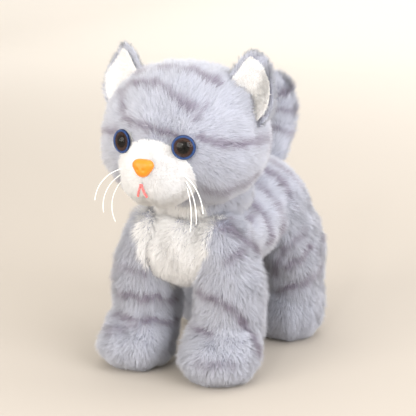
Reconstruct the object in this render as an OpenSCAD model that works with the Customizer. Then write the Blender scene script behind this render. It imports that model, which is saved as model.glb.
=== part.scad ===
// Standing plush kitten: a stuffed head, torso, legs and tail under sewn fur-fabric panels.
// +Z is up, the cat faces -Y, its left side is +X and the floor is z = 0. All sizes are millimetres.

/* [Fabric] */
// Thickness of the fur fabric with its pile pressed
fabric_t = 3.2; // [2:0.1:5]
// Slack between a panel's back and the stuffing
slack = 0.8; // [0.3:0.1:1.5]

/* [Head] */
// Half of the head's width
head_a = 59; // [50:0.5:70]
// Head centre to the face
head_front = 48; // [40:0.5:60]
// Head centre to the back of the head
head_back = 52; // [40:0.5:60]
// Head centre to the crown
head_up = 51.5; // [40:0.5:60]
// Head centre to the underside
head_down = 48.5; // [40:0.5:60]
// Fullness of the cheeks
cheek = 3.5; // [0:0.5:8]
// How far the muzzle stands out
muzzle_out = 15; // [6:0.5:20]
// Radius of an eye's black backing
eye_r = 7.9; // [5:0.1:10]
// Height of an eye's clear dome
eye_dome = 4.4; // [2:0.1:6]
// Radius of the ball of stuffing in the neck
neck_r = 25; // [18:0.5:30]

/* [Ears] */
// Half of an ear's width at its base
ear_half = 21.5; // [15:0.5:30]
// Ear height from its seam
ear_h = 20; // [18:0.5:40]
// How far the ear's edges curl forward
ear_cup = 7; // [0:0.5:8]

/* [Torso] */
// Half of the chest's width
chest_a = 51; // [40:0.5:60]
// Chest radius around the shoulder axis
chest_r = 27; // [20:0.5:35]
// Half of the rump's width
rump_a = 47; // [40:0.5:60]
// Rump radius around the hip axis
rump_r = 45; // [35:0.5:50]

/* [Legs] */
// Front leg radius above the paw
front_r = 26.5; // [18:0.5:30]
// Hind leg radius above the paw
hind_r = 26; // [18:0.5:30]
// Running gap between a leg's top and the torso
leg_gap = 1.3; // [0.5:0.1:3]
// Thickness of a sole
sole_t = 3; // [1.5:0.1:5]

/* [Tail] */
// Tail radius at its middle
tail_r = 14; // [8:0.5:18]
// Radius of the ball at the tail's root
root_r = 12.5; // [8:0.5:16]

/* [Hidden] */
stand_y = -23.2;
head_c = [0, -26, 163.5];
neck_c = [0, -8, 139];
shoulder = [-24, 84];
hip = [68, 93];
stuff_off = fabric_t + slack;
eye_lon = 28;
eye_turn = 19;
eye_sink = 1.2;
nose_lat = -13;
tail_path = [[0, 102, 124], [0, 124, 144], [0, 127, 172], [0, 108, 190]];

grey_fur = [0.78, 0.79, 0.85];
white_fur = [0.95, 0.94, 0.92];
fibre = [0.93, 0.93, 0.9];

// ---- small helpers ----
function mix(a, b, s) = a + (b - a) * s;
function ease(s) = let (c = min(max(s, 0), 1)) c * c * (3 - 2 * c);
function fall(d, w) = d < w ? pow(cos(90 * d / w), 2) : 0;
function flat(rows) = [for (r = rows) for (p = r) p];
function aim(lon, lat) = [cos(lat) * sin(lon), -cos(lat) * cos(lon), sin(lat)];

// Faces of a grid of quads, each cut in two. wrap closes the columns into a ring.
function quads(rows, cols, wrap, base, flip) = [
  for (r = [0 : rows - 2]) for (c = [0 : cols - (wrap ? 1 : 2)])
    let (a = base + r * cols + c, b = base + r * cols + (c + 1) % cols, d = a + cols, e = b + cols)
      for (k = [0, 1]) k == 0 ? (flip ? [a, e, b] : [a, b, e]) : (flip ? [a, d, e] : [a, e, d])
];

// Faces joining the edge of an outer grid to the edge of an inner one.
function rim(outer, inner) = [
  for (i = [0 : len(outer) - 2]) for (k = [0, 1])
    k == 0 ? [outer[i], inner[i], inner[i + 1]] : [outer[i], inner[i + 1], outer[i + 1]]
];

// Closed solid from rings listed from its first end to its last, each end closed to a point.
// flat_end closes the last ring with one flat face instead.
module ring_solid(rows, first, last, flat_end = false) {
  m = len(rows);
  n = len(rows[0]);
  k = (m - 1) * n;
  polyhedron(
    flat_end ? concat(flat(rows), [first]) : concat(flat(rows), [first, last]),
    concat(
      quads(m, n, true, 0, false),
      [for (c = [0 : n - 1]) [m * n, (c + 1) % n, c]],
      flat_end ? [[for (c = [0 : n - 1]) k + c]]
      : [for (c = [0 : n - 1]) [m * n + 1, k + c, k + (c + 1) % n]]
    ),
    convexity = 6);
}

// Fabric panel between an outer and an inner grid of points, open on all four sides.
module panel(outer, inner) {
  m = len(outer);
  n = len(outer[0]);
  k = m * n;
  top = [for (c = [0 : n - 1]) c];
  foot = [for (c = [n - 1 : -1 : 0]) (m - 1) * n + c];
  left = [for (r = [m - 1 : -1 : 0]) r * n];
  right = [for (r = [0 : m - 1]) r * n + n - 1];
  polyhedron(
    concat(flat(outer), flat(inner)),
    concat(
      quads(m, n, false, 0, false),
      quads(m, n, false, k, true),
      rim(top, [for (i = top) i + k]),
      rim(foot, [for (i = foot) i + k]),
      rim(left, [for (i = left) i + k]),
      rim(right, [for (i = right) i + k])
    ),
    convexity = 6);
}

// Fabric tube between an outer and an inner stack of rings, open at both ends.
module sleeve(outer, inner) {
  m = len(outer);
  n = len(outer[0]);
  k = m * n;
  top = [for (c = [0 : n]) c % n];
  foot = [for (c = [n : -1 : 0]) (m - 1) * n + c % n];
  polyhedron(
    concat(flat(outer), flat(inner)),
    concat(
      quads(m, n, true, 0, false),
      quads(m, n, true, k, true),
      rim(top, [for (i = top) i + k]),
      rim(foot, [for (i = foot) i + k])
    ),
    convexity = 6);
}

// Domed fabric panel: rings around a tip, open only at its last ring.
module dome(outer, inner, tip_outer, tip_inner) {
  m = len(outer);
  n = len(outer[0]);
  k = m * n;
  foot = [for (c = [n : -1 : 0]) (m - 1) * n + c % n];
  polyhedron(
    concat(flat(outer), flat(inner), [tip_outer, tip_inner]),
    concat(
      quads(m, n, true, 0, false),
      quads(m, n, true, k, true),
      [for (c = [0 : n - 1]) [2 * k, (c + 1) % n, c]],
      [for (c = [0 : n - 1]) [2 * k + 1, k + c, k + (c + 1) % n]],
      rim(foot, [for (i = foot) i + k])
    ),
    convexity = 6);
}

// Centres the standing cat front to back.
module placed() {
  translate([0, stand_y, 0]) children();
}

module sided(side) {
  if (side > 0) {
    children();
  } else {
    mirror([1, 0, 0]) children();
  }
}

// ---- head ----
// Distance from the head's centre to its surface: a rounded box-like oval with full cheeks.
function head_reach(d) =
  let (
    b = d[1] < 0 ? head_front : head_back,
    c = d[2] > 0 ? head_up : head_down,
    oval = pow(abs(d[0]) / head_a, 2.15) + pow(abs(d[1]) / b, 2.15) + pow(abs(d[2]) / c, 2.15),
    turn = acos(min(1, [abs(d[0]), d[1], d[2]] * [0.82, -0.36, -0.445]))
  )
  pow(oval, -1 / 2.15) + cheek * fall(turn, 45);
function head_point(lon, lat, off) = let (d = aim(lon, lat)) head_c + d * (head_reach(d) - off);
function head_rows(lats, lons, off) = [for (a = lats) [for (o = lons) head_point(o, a, off)]];

crown_lats = [82, 72, 61.5, 51, 40];
side_lats = [for (k = [0 : 12]) 40 - k * 115 / 12];

module neck_cavity() {
  translate(neck_c) sphere(r = neck_r + 2, $fn = 96);
}

module head_crown() {
  lons = [for (k = [0 : 35]) 10 * k];
  color(grey_fur)
    dome(
      head_rows(crown_lats, lons, 0), head_rows(crown_lats, lons, fabric_t),
      head_point(0, 90, 0), head_point(0, 90, fabric_t));
}

module head_face(side) {
  lons = [for (k = [0 : 11]) 10 * k];
  color(grey_fur)
    sided(side)
      difference() {
        panel(head_rows(side_lats, lons, 0), head_rows(side_lats, lons, fabric_t));
        neck_cavity();
        at_eye() {
          translate([0, 0, -0.9]) cylinder(r = eye_r + 0.4, h = 12, $fn = 48);
          translate([0, 0, -8]) cylinder(r = 2.2, h = 12, $fn = 24);
        }
      }
}

module head_back() {
  lons = [for (k = [11 : 25]) 10 * k];
  color(grey_fur)
    difference() {
      panel(head_rows(side_lats, lons, 0), head_rows(side_lats, lons, fabric_t));
      neck_cavity();
    }
}

module head_stuffing() {
  lons = [for (k = [0 : 31]) 11.25 * k];
  lats = [for (k = [1 : 16]) 90 - 180 * k / 17];
  color(fibre)
    difference() {
      ring_solid(head_rows(lats, lons, stuff_off), head_point(0, 90, stuff_off), head_point(0, -90, stuff_off));
      neck_cavity();
      for (side = [-1, 1])
        sided(side)
          at_eye() {
            translate([0, 0, -5]) cylinder(r = 7.4, h = 12, $fn = 40);
            translate([0, 0, -16]) cylinder(r = 2.3, h = 20, $fn = 24);
          }
    }
}

// ---- muzzle ----
// The muzzle is laid out in polar form over the lower face: e runs from its middle (0) to its seam (1).
function muzzle_dir(e, phi) = aim(37 * e * cos(phi), -30 + (sin(phi) > 0 ? 33 : 27) * e * sin(phi));
function muzzle_lift(e, phi) = muzzle_out * pow(max(0, 1 - e * e), 1.3 + 1.3 * max(0, sin(phi)));
function muzzle_point(e, phi, cut, least) =
  let (d = muzzle_dir(e, phi))
  head_c + d * (head_reach(d) + 0.5 + max(muzzle_lift(e, phi) - cut, least));
function muzzle_rows(es, cut, least) =
  [for (e = es) [for (k = [0 : 27]) muzzle_point(e, 360 * k / 28, cut, least)]];

module muzzle_cover() {
  es = [0.15, 0.3, 0.45, 0.6, 0.72, 0.82, 0.9, 0.96, 1];
  color(white_fur)
    difference() {
      dome(muzzle_rows(es, 0, 1), muzzle_rows(es, 2.4, 0), muzzle_point(0, 0, 0, 1), muzzle_point(0, 0, 2.4, 0));
      at_nose() translate([0, 0, -14]) cylinder(r = 2, h = 20, $fn = 24);
      for (side = [-1, 1])
        sided(side)
          at_eye() translate([0, 0, -0.9]) cylinder(r = eye_r + 0.4, h = 12, $fn = 48);
    }
}

module muzzle_stuffing() {
  es = [0.15, 0.3, 0.45, 0.58, 0.68];
  back = [for (k = [4 : -1 : 0]) es[k]];
  color(fibre)
    difference() {
      ring_solid(
        concat(muzzle_rows(es, 2.8, 0.3), muzzle_rows(back, 99, 0.02)),
        muzzle_point(0, 0, 2.8, 0.3), muzzle_point(0, 0, 99, 0.02));
      at_nose() {
        translate([0, 0, -16]) cylinder(r = 2.1, h = 20, $fn = 24);
        translate([0, 0, -6.2]) cylinder(r = 5.4, h = 12, $fn = 32);
      }
    }
}

// Places its child on the muzzle under the nose, with +Z pointing out of the face.
module at_nose() {
  d = aim(0, nose_lat);
  e = (nose_lat + 30) / 33;
  translate(head_c + d * (head_reach(d) + 0.5 + muzzle_lift(e, 90)))
    rotate([78, 0, 0])
      children();
}

// A moulded nose of three round lobes on a short shank.
module nose() {
  color([0.96, 0.63, 0.14])
    at_nose()
      union() {
        intersection() {
          union() {
            for (x = [-4.4, 4.4])
              translate([x, 1.6, 0.6]) sphere(r = 3.5, $fn = 40);
            translate([0, 0.6, 0.5]) sphere(r = 4.3, $fn = 40);
            translate([0, -3.6, 0.9]) sphere(r = 3.1, $fn = 40);
          }
          translate([0, 0, -0.4]) cylinder(r = 12, h = 8, $fn = 40);
        }
        translate([0, 0, -6.3]) cylinder(r = 1.8, h = 6.5, $fn = 24);
      }
}

module nose_washer() {
  color("white")
    at_nose()
      translate([0, 0, -5.8])
        difference() {
          cylinder(r = 5, h = 1.4, $fn = 32);
          translate([0, 0, -1]) cylinder(r = 1.9, h = 4, $fn = 24);
        }
}

// Two short rows of stitches that make a small open V under the nose.
module mouth_stitching() {
  color([0.95, 0.48, 0.47])
    for (side = [-1, 1])
      for (k = [0 : 7]) {
        lat = -22.4 - 0.95 * k;
        lon = side * (0.4 + 0.4 * k);
        d = aim(lon, lat);
        s = sqrt(pow(lon / 37, 2) + pow((lat + 30) / (lat > -30 ? 33 : 27), 2));
        translate(head_c + d * (head_reach(d) + 0.7 + muzzle_lift(s, lat > -30 ? 90 : -90)))
          sphere(r = 0.8, $fn = 16);
      }
}

// ---- eyes ----
// Places its child at the left eye's backing, with +Z pointing out of the face.
module at_eye() {
  translate(head_point(eye_lon, 0.5, eye_sink))
    rotate([0, 0, eye_turn])
      rotate([88, 0, 0])
        children();
}

module eye_backing(side) {
  color([0.05, 0.05, 0.06])
    sided(side)
      at_eye() {
        translate([0, 0, -0.8]) cylinder(r = eye_r, h = 1.1, $fn = 64);
        translate([0, 0, -14]) cylinder(r = 2, h = 13.4, $fn = 24);
      }
}

module eye_lens(side) {
  ball = (eye_r * eye_r + eye_dome * eye_dome) / (2 * eye_dome);
  color([0.4, 0.5, 0.7, 0.5])
    sided(side)
      at_eye()
        translate([0, 0, 0.35])
          intersection() {
            translate([0, 0, eye_dome - ball]) sphere(r = ball, $fn = 96);
            cylinder(r = eye_r + 1, h = eye_dome + 1, $fn = 64);
          }
}

module eye_washer(side) {
  color("white")
    sided(side)
      at_eye()
        translate([0, 0, -4.3])
          difference() {
            cylinder(r = 7, h = 1.5, $fn = 40);
            translate([0, 0, -1]) cylinder(r = 2.1, h = 4, $fn = 24);
          }
}

// ---- whiskers ----
// A fibre bent along a quarter of a large ring.
module whisker(reach, droop) {
  rotate([0, 90, 0])
    rotate([0, 0, 90])
      translate([-reach, 0, 0])
        rotate_extrude(angle = droop, $fn = 120)
          translate([reach, 0]) circle(r = 0.3, $fn = 24);
}

module whiskers(side) {
  color([0.97, 0.97, 0.95])
    sided(side)
      for (k = [0 : 2]) {
        phi = 22 - 9 * k;
        translate(muzzle_point(0.82, phi, 1.5, 0))
          rotate([0, 14 + 15 * k, -20 - 9 * k])
            rotate([90, 0, 90])
              whisker(25, 70);
      }
}

// ---- ears ----
ear_seam = [50, -20, 195.4];
ear_u = [0.622, 0, -0.783];
ear_v = [0.783, 0, 0.622];

function ear_point(c, s, depth) =
  let (
    u = c * ear_half * sqrt(1 - pow(s, 2.4)) - 13 * pow(s, 1.5),
    v = mix(-u * u / 100, ear_h, s) - 0.9 * c * c * s,
    n = ear_cup * pow(c, 2) * (1 - 0.45 * s) * ease(s / 0.35) - depth
  )
  ear_seam + ear_u * u + ear_v * v + [0, -n, 0];
function ear_rows(depth, inset) =
  [for (s = [0.985, 0.94, 0.84, 0.7, 0.54, 0.37, 0.18, 0])
    [for (k = [-5 : 5]) ear_point((1 - inset) * k / 5, s * (1 - inset), depth)]];

module ear_back(side) {
  color(grey_fur) sided(side) panel(ear_rows(-0.3, 0), ear_rows(2.9, 0));
}

module ear_lining(side) {
  color(white_fur) sided(side) panel(ear_rows(-2.5, 0.12), ear_rows(-0.8, 0.12));
}

module neck_stuffing() {
  color(fibre) translate(neck_c) sphere(r = neck_r, $fn = 96);
}

// ---- torso ----
// Far crossing of a ray from height o with an ellipse of half-sizes a and b centred at height m.
function far_cross(th, o, m, a, b) =
  let (
    p = pow(cos(th) / a, 2) + pow(sin(th) / b, 2),
    q = 2 * (o - m) * sin(th) / (b * b),
    r = pow((o - m) / b, 2) - 1,
    disc = q * q - 4 * p * r
  )
  disc > 0 ? (-q + sqrt(disc)) / (2 * p) : 0;

// Section of a solid turned about a side-to-side axis through [y, z], with half-width a and radius r.
function turned(th, o, y, axis, a, r) =
  let (k = sqrt(max(0, 1 - pow((y - axis[0]) / r, 2))))
  k > 0.001 ? far_cross(th, o, axis[1], a * k, r * k) : 0;

// The back, the underside and the half-width of the barrel between the shoulder and hip axes. The
// underside lifts behind the front legs to leave them room to swing.
barrel_end = 45;
function back_z(y) = mix(shoulder[1] + chest_r, 126, ease((y + 10) / 60));
function belly_z(y) = lookup(y, [
  [-24, shoulder[1] - chest_r], [-18, 58.2], [-12, 62.5], [-7, 67.5], [-3, 72.5], [1, 76.5],
  [7, 76.5], [11, 68], [15, 61], [24, 58.5], [barrel_end, 62]]);
function barrel_a(y) = mix(chest_a, 44, ease((y - shoulder[0]) / 30));
function core_z(y) =
  y < shoulder[0] ? shoulder[1] : (y < barrel_end ? (back_z(y) + belly_z(y)) / 2 : hip[1]);

function torso_reach(y, th, off) =
  let (
    o = core_z(y),
    half = (back_z(y) - belly_z(y)) / 2 - off,
    barrel = y > shoulder[0] && y <= barrel_end ? far_cross(th, o, o, barrel_a(y) - off, half) : 0,
    chest = y <= shoulder[0] ? turned(th, o, y, shoulder, chest_a - off, chest_r - off) : 0
  )
  max(chest, barrel, turned(th, o, y, hip, rump_a - off, rump_r - off));
function torso_point(y, th, off) =
  let (t = torso_reach(y, th, off)) [t * cos(th), y, core_z(y) + t * sin(th)];

// Rows are laid out on the outside and pulled in at both ends for the offset surface.
function pulled(y, off) =
  y < shoulder[0] ? shoulder[0] + (y - shoulder[0]) * (chest_r - off) / chest_r
  : (y > hip[0] ? hip[0] + (y - hip[0]) * (rump_r - off) / rump_r : y);
function torso_rows(ys, ths, off) = [for (y = ys) [for (th = ths) torso_point(pulled(y, off), th, off)]];

bib_ys = [-50.6, -49.4, -47, -44];
body_ys = [
  -44, -39, -32, -24, -18, -12, -7, -3, 1, 7, 11, 15, 20, 26, 33, 39, 45, 51, 59, 68,
  77, 85, 92, 98, 103, 107, 110, 112, 112.9
];

module tail_recess() {
  translate(tail_path[0]) sphere(r = root_r + 0.8, $fn = 72);
}

module torso_panel(first, cells) {
  ths = [for (k = [0 : cells]) 15 * (first + k)];
  color(grey_fur)
    difference() {
      panel(torso_rows(body_ys, ths, 0), torso_rows(body_ys, ths, fabric_t));
      tail_recess();
    }
}

module chest_bib() {
  ths = [for (k = [0 : 23]) 15 * k];
  color(white_fur)
    dome(
      torso_rows(bib_ys, ths, 0), torso_rows(bib_ys, ths, fabric_t),
      [0, shoulder[0] - chest_r, shoulder[1]], [0, shoulder[0] - chest_r + fabric_t, shoulder[1]]);
}

module torso_stuffing() {
  ths = [for (k = [0 : 15]) 22.5 * k];
  ys = concat([-50.6, -49.4, -47], body_ys);
  color(fibre)
    difference() {
      ring_solid(
        torso_rows(ys, ths, stuff_off),
        [0, shoulder[0] - chest_r + stuff_off, shoulder[1]], [0, hip[0] + rump_r - stuff_off, hip[1]]);
      tail_recess();
    }
}

// ---- legs ----
// A leg is [half stance, column y, column radius, paw y, paw half-width, paw half-length, axis, a, r, rim].
front_leg = [32.6, -24, front_r, -39, 30, 31, shoulder, chest_a, chest_r, 68];
hind_leg = [32, 75, hind_r, 70, 28.5, 31, hip, rump_a, rump_r, 78];

// Underside of the torso over a point, lowered by the running gap and capped at the leg's rim.
function saddle(leg, x, y) =
  let (
    a = leg[7] + leg_gap,
    r = (leg[8] + leg_gap) * sqrt(max(0, 1 - x * x / (a * a))),
    d = y - leg[6][0]
  )
  min(leg[9], leg[6][1] - sqrt(max(0, r * r - d * d)));

function toe(z) = z < 11 ? sqrt(1 - 0.42 * pow((11 - z) / 11, 2)) : 1;
function leg_point(leg, lon, t, off) =
  let (
    top_x = leg[0] + (leg[2] - off) * sin(lon),
    top_y = leg[1] - (leg[2] - off) * cos(lon),
    low = sole_t + (off > fabric_t ? slack : 0.1),
    z = mix(low, saddle(leg, top_x, top_y), t),
    s = ease((z - 13) / 30),
    y = mix(leg[3], leg[1], s)
  )
  [
    leg[0] + (mix(leg[4], leg[2], s) * toe(z) - off) * sin(lon),
    y - (mix(leg[5], leg[2], s) * toe(z) - off) * cos(lon),
    z
  ];
function leg_rows(leg, lons, off) =
  [for (t = [1, 0.84, 0.68, 0.54, 0.42, 0.3, 0.2, 0.1, 0])
    [for (lon = lons) leg_point(leg, lon, t, off)]];
function leg_top(leg, rho, lons, off) =
  [for (lon = lons)
    let (x = leg[0] + rho * (leg[2] - off) * sin(lon), y = leg[1] - rho * (leg[2] - off) * cos(lon))
      [x, y, saddle(leg, x, y)]];

// half 0 is the outer panel, away from the cat's middle, and half 1 the inner one.
module leg_panel(leg, side, half) {
  lons = [for (k = [0 : 12]) 15 * (k + 12 * half)];
  color(grey_fur) sided(side) panel(leg_rows(leg, lons, 0), leg_rows(leg, lons, fabric_t));
}

module leg_stuffing(leg, side) {
  lons = [for (k = [0 : 17]) 20 * k];
  color(fibre)
    sided(side)
      ring_solid(
        concat([for (rho = [0.3, 0.6, 0.82]) leg_top(leg, rho, lons, stuff_off)],
               leg_rows(leg, lons, stuff_off)),
        [leg[0], leg[1], saddle(leg, leg[0], leg[1])], [leg[0], leg[3], sole_t + slack]);
}

module leg_sole(leg, side) {
  lons = [for (k = [0 : 23]) 15 * k];
  rows = [for (z = [sole_t, sole_t / 2, 0])
    [for (lon = lons) [
      leg[0] + leg[4] * toe(z) * sin(lon), leg[3] - leg[5] * toe(z) * cos(lon), z]]];
  color(grey_fur) sided(side) ring_solid(rows, [leg[0], leg[3], sole_t], undef, true);
}

// ---- tail ----
function bez(t) =
  let (u = 1 - t)
  tail_path[0] * u * u * u + tail_path[1] * 3 * u * u * t + tail_path[2] * 3 * u * t * t + tail_path[3] * t * t * t;
function along(t) =
  let (u = 1 - t, d = (tail_path[1] - tail_path[0]) * u * u + (tail_path[2] - tail_path[1]) * 2 * u * t
    + (tail_path[3] - tail_path[2]) * t * t)
  d / norm(d);
function tail_width(t) = tail_r * (0.9 + 0.1 * ease(t / 0.4)) * (1 - 0.12 * ease((t - 0.6) / 0.4));
function tail_ring(p, d, r) =
  let (n = cross(d, [1, 0, 0])) [for (k = [0 : 19]) p + r * (cos(18 * k) * [1, 0, 0] + sin(18 * k) * n)];
function tail_at(t, off) = tail_ring(bez(t), along(t), tail_width(t) - off);
// Rings of a round end of radius r centred at p, at these angles from its pole, on a tail running along d.
function ball_rings(p, pole, d, r, angles) =
  [for (a = angles) tail_ring(p + pole * (r * cos(a)), d, r * sin(a))];

tail_mid = bez(0.5);
tail_mid_d = along(0.5);
mid_ball = 9.4;

module tail_lower_stuffing() {
  ts = [0.4, 0.34, 0.28, 0.22, 0.17];
  color(fibre)
    ring_solid(
      concat(
        ball_rings(tail_mid, -tail_mid_d, tail_mid_d, mid_ball + 0.8, [20, 42, 62, 74]),
        [for (t = ts) tail_at(t, stuff_off)],
        ball_rings(tail_path[0], -along(0), along(0), root_r, [92, 75, 58, 40, 20])),
      tail_mid - tail_mid_d * (mid_ball + 0.8), tail_path[0] - along(0) * root_r);
}

module tail_lower_sleeve() {
  ts = [0.43, 0.37, 0.31, 0.25, 0.19];
  color(grey_fur) sleeve([for (t = ts) tail_at(t, 0)], [for (t = ts) tail_at(t, fabric_t)]);
}

module tail_upper_stuffing() {
  ts = [0.92, 0.84, 0.77, 0.7, 0.64, 0.59];
  end = bez(0.92);
  color(fibre)
    ring_solid(
      concat(
        ball_rings(end, along(0.92), along(0.92), tail_width(0.92) - stuff_off, [20, 42, 66]),
        [for (t = ts) tail_at(t, stuff_off)],
        ball_rings(tail_mid, -tail_mid_d, tail_mid_d, mid_ball, [90, 72, 54, 36, 18])),
      end + along(0.92) * (tail_width(0.92) - stuff_off), tail_mid - tail_mid_d * mid_ball);
}

module tail_upper_sleeve() {
  ts = [0.92, 0.86, 0.8, 0.74, 0.68, 0.62, 0.57];
  end = bez(0.92);
  d = along(0.92);
  color(grey_fur)
    dome(
      concat(ball_rings(end, d, d, tail_width(0.92), [20, 42, 66]), [for (t = ts) tail_at(t, 0)]),
      concat(
        ball_rings(end, d, d, tail_width(0.92) - fabric_t, [20, 42, 66]),
        [for (t = ts) tail_at(t, fabric_t)]),
      end + d * tail_width(0.92), end + d * (tail_width(0.92) - fabric_t));
}

placed() head_crown();
placed() head_face(1);  // head_face_left
placed() head_face(-1);  // head_face_right
placed() head_back();
placed() head_stuffing();
placed() muzzle_cover();
placed() muzzle_stuffing();
placed() nose();
placed() nose_washer();
placed() mouth_stitching();
placed() eye_backing(1);  // eye_left_back
placed() eye_lens(1);  // eye_left_lens
placed() eye_washer(1);  // eye_left_washer
placed() eye_backing(-1);  // eye_right_back
placed() eye_lens(-1);  // eye_right_lens
placed() eye_washer(-1);  // eye_right_washer
placed() whiskers(1);  // whiskers_left
placed() whiskers(-1);  // whiskers_right
placed() ear_back(1);  // ear_left_back
placed() ear_lining(1);  // ear_left_lining
placed() ear_back(-1);  // ear_right_back
placed() ear_lining(-1);  // ear_right_lining
placed() neck_stuffing();
placed() torso_panel(-4, 10);  // torso_left_panel
placed() torso_panel(6, 10);  // torso_right_panel
placed() torso_panel(16, 4);  // belly_gusset
placed() chest_bib();
placed() torso_stuffing();
placed() leg_panel(front_leg, 1, 0);  // front_left_outer_panel
placed() leg_panel(front_leg, 1, 1);  // front_left_inner_panel
placed() leg_stuffing(front_leg, 1);  // front_left_stuffing
placed() leg_sole(front_leg, 1);  // front_left_sole
placed() leg_panel(front_leg, -1, 0);  // front_right_outer_panel
placed() leg_panel(front_leg, -1, 1);  // front_right_inner_panel
placed() leg_stuffing(front_leg, -1);  // front_right_stuffing
placed() leg_sole(front_leg, -1);  // front_right_sole
placed() leg_panel(hind_leg, 1, 0);  // hind_left_outer_panel
placed() leg_panel(hind_leg, 1, 1);  // hind_left_inner_panel
placed() leg_stuffing(hind_leg, 1);  // hind_left_stuffing
placed() leg_sole(hind_leg, 1);  // hind_left_sole
placed() leg_panel(hind_leg, -1, 0);  // hind_right_outer_panel
placed() leg_panel(hind_leg, -1, 1);  // hind_right_inner_panel
placed() leg_stuffing(hind_leg, -1);  // hind_right_stuffing
placed() leg_sole(hind_leg, -1);  // hind_right_sole
placed() tail_lower_sleeve();
placed() tail_lower_stuffing();
placed() tail_upper_sleeve();
placed() tail_upper_stuffing();
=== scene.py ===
"""A standing plush kitten: stuffed forms under sewn fur fabric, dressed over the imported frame.

The shapes are worked out in millimetres in the pattern maker's frame, where +Z is up, the cat faces -Y
and its left side is +X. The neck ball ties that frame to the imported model, so one shift places all.
"""

import logging
from collections.abc import Callable
from dataclasses import dataclass, field
from enum import Enum

import bpy
import numpy as np
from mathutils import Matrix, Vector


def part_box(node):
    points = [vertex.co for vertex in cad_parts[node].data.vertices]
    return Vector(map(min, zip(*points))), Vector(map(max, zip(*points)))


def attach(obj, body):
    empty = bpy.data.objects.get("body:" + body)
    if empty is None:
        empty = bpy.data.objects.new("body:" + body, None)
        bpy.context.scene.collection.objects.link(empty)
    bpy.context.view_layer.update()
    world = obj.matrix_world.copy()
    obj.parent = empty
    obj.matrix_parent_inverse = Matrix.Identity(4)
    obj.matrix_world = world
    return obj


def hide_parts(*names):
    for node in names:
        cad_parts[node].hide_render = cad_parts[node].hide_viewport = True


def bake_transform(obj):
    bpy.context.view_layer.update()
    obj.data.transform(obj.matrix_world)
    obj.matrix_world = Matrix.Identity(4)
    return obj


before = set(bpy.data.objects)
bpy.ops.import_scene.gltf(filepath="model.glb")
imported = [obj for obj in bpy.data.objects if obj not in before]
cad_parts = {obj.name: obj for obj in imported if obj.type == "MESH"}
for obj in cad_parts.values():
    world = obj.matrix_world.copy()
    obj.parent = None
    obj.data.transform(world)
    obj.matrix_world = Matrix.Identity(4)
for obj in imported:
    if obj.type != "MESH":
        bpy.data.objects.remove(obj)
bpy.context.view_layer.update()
log = logging.getLogger("plush_kitten")
Array = np.ndarray
MM = 0.001
NECK_BALL = np.array([0.0, -8.0, 139.0])


def pattern_shift() -> Array:
    """Returns, in millimetres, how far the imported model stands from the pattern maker's frame."""
    low, high = (np.array(corner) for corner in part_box("neck_stuffing"))
    return (low + high) / 2 / MM - NECK_BALL


SHIFT = pattern_shift()


# ---- plain mathematics ----
def unit(v: Array) -> Array:
    """Returns the vectors along the last axis at length one."""
    return v / np.maximum(np.linalg.norm(v, axis=-1, keepdims=True), 1e-9)


def mix(a: Array | float, b: Array | float, s: Array | float) -> Array | float:
    """Returns the value s of the way from a to b."""
    return a + (b - a) * s


def ease(x: Array | float) -> Array:
    """Returns the smooth step three x squared less two x cubed, held at 0 and 1 outside that range."""
    c = np.clip(x, 0, 1)
    return c * c * (3 - 2 * c)


def grid(rows: Array, columns: Array) -> list[Array]:
    """Returns the two grids of values that go with each row and each column."""
    return np.meshgrid(rows, columns, indexing="ij")


def around(count: int) -> Array:
    """Returns evenly spaced degrees for one full turn, without the last."""
    return np.linspace(0, 360, count, endpoint=False)


def metres(point: Array) -> tuple[float, ...]:
    """Returns a place of the pattern maker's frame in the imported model's metres."""
    return tuple(((np.asarray(point) + SHIFT) * MM).tolist())


def fall(d: Array, w: float) -> Array:
    """Returns a cosine bell: 1 at distance 0 and 0 from distance w on."""
    return np.where(np.abs(d) < w, np.cos(np.pi / 2 * np.clip(d / w, -1, 1)) ** 2, 0)


def aim(lon: Array, lat: Array) -> Array:
    """Returns unit directions from degrees of longitude, 0 in front and 90 to the left, and latitude."""
    o, a = np.radians(lon), np.radians(lat)
    return np.stack([np.cos(a) * np.sin(o), -np.cos(a) * np.cos(o), np.sin(a)], -1)


def drift(points: Array, size: float, seed: int) -> Array:
    """Smooth noise: seven sine waves of about one wavelength in random directions, added up.

    Args:
        points: places in millimetres, along the last axis.
        size: wavelength in millimetres.
        seed: picks the directions and phases.

    Returns:
        Values of about -1 to 1, one for each place.
    """
    rng = np.random.default_rng(seed)
    waves = unit(rng.normal(size=(7, 3))) * rng.uniform(0.7, 1.5, (7, 1)) * (2 * np.pi / size)
    return np.sin(points @ waves.T + rng.uniform(0, 2 * np.pi, 7)).sum(-1) / 3.2


def linear(code: str) -> tuple[float, float, float, float]:
    """Turns an sRGB hex colour into linear light with full opacity."""
    srgb = np.array([int(code[k : k + 2], 16) for k in (1, 3, 5)]) / 255
    return (*np.where(srgb <= 0.04045, srgb / 12.92, ((srgb + 0.055) / 1.055) ** 2.4).tolist(), 1.0)


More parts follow.
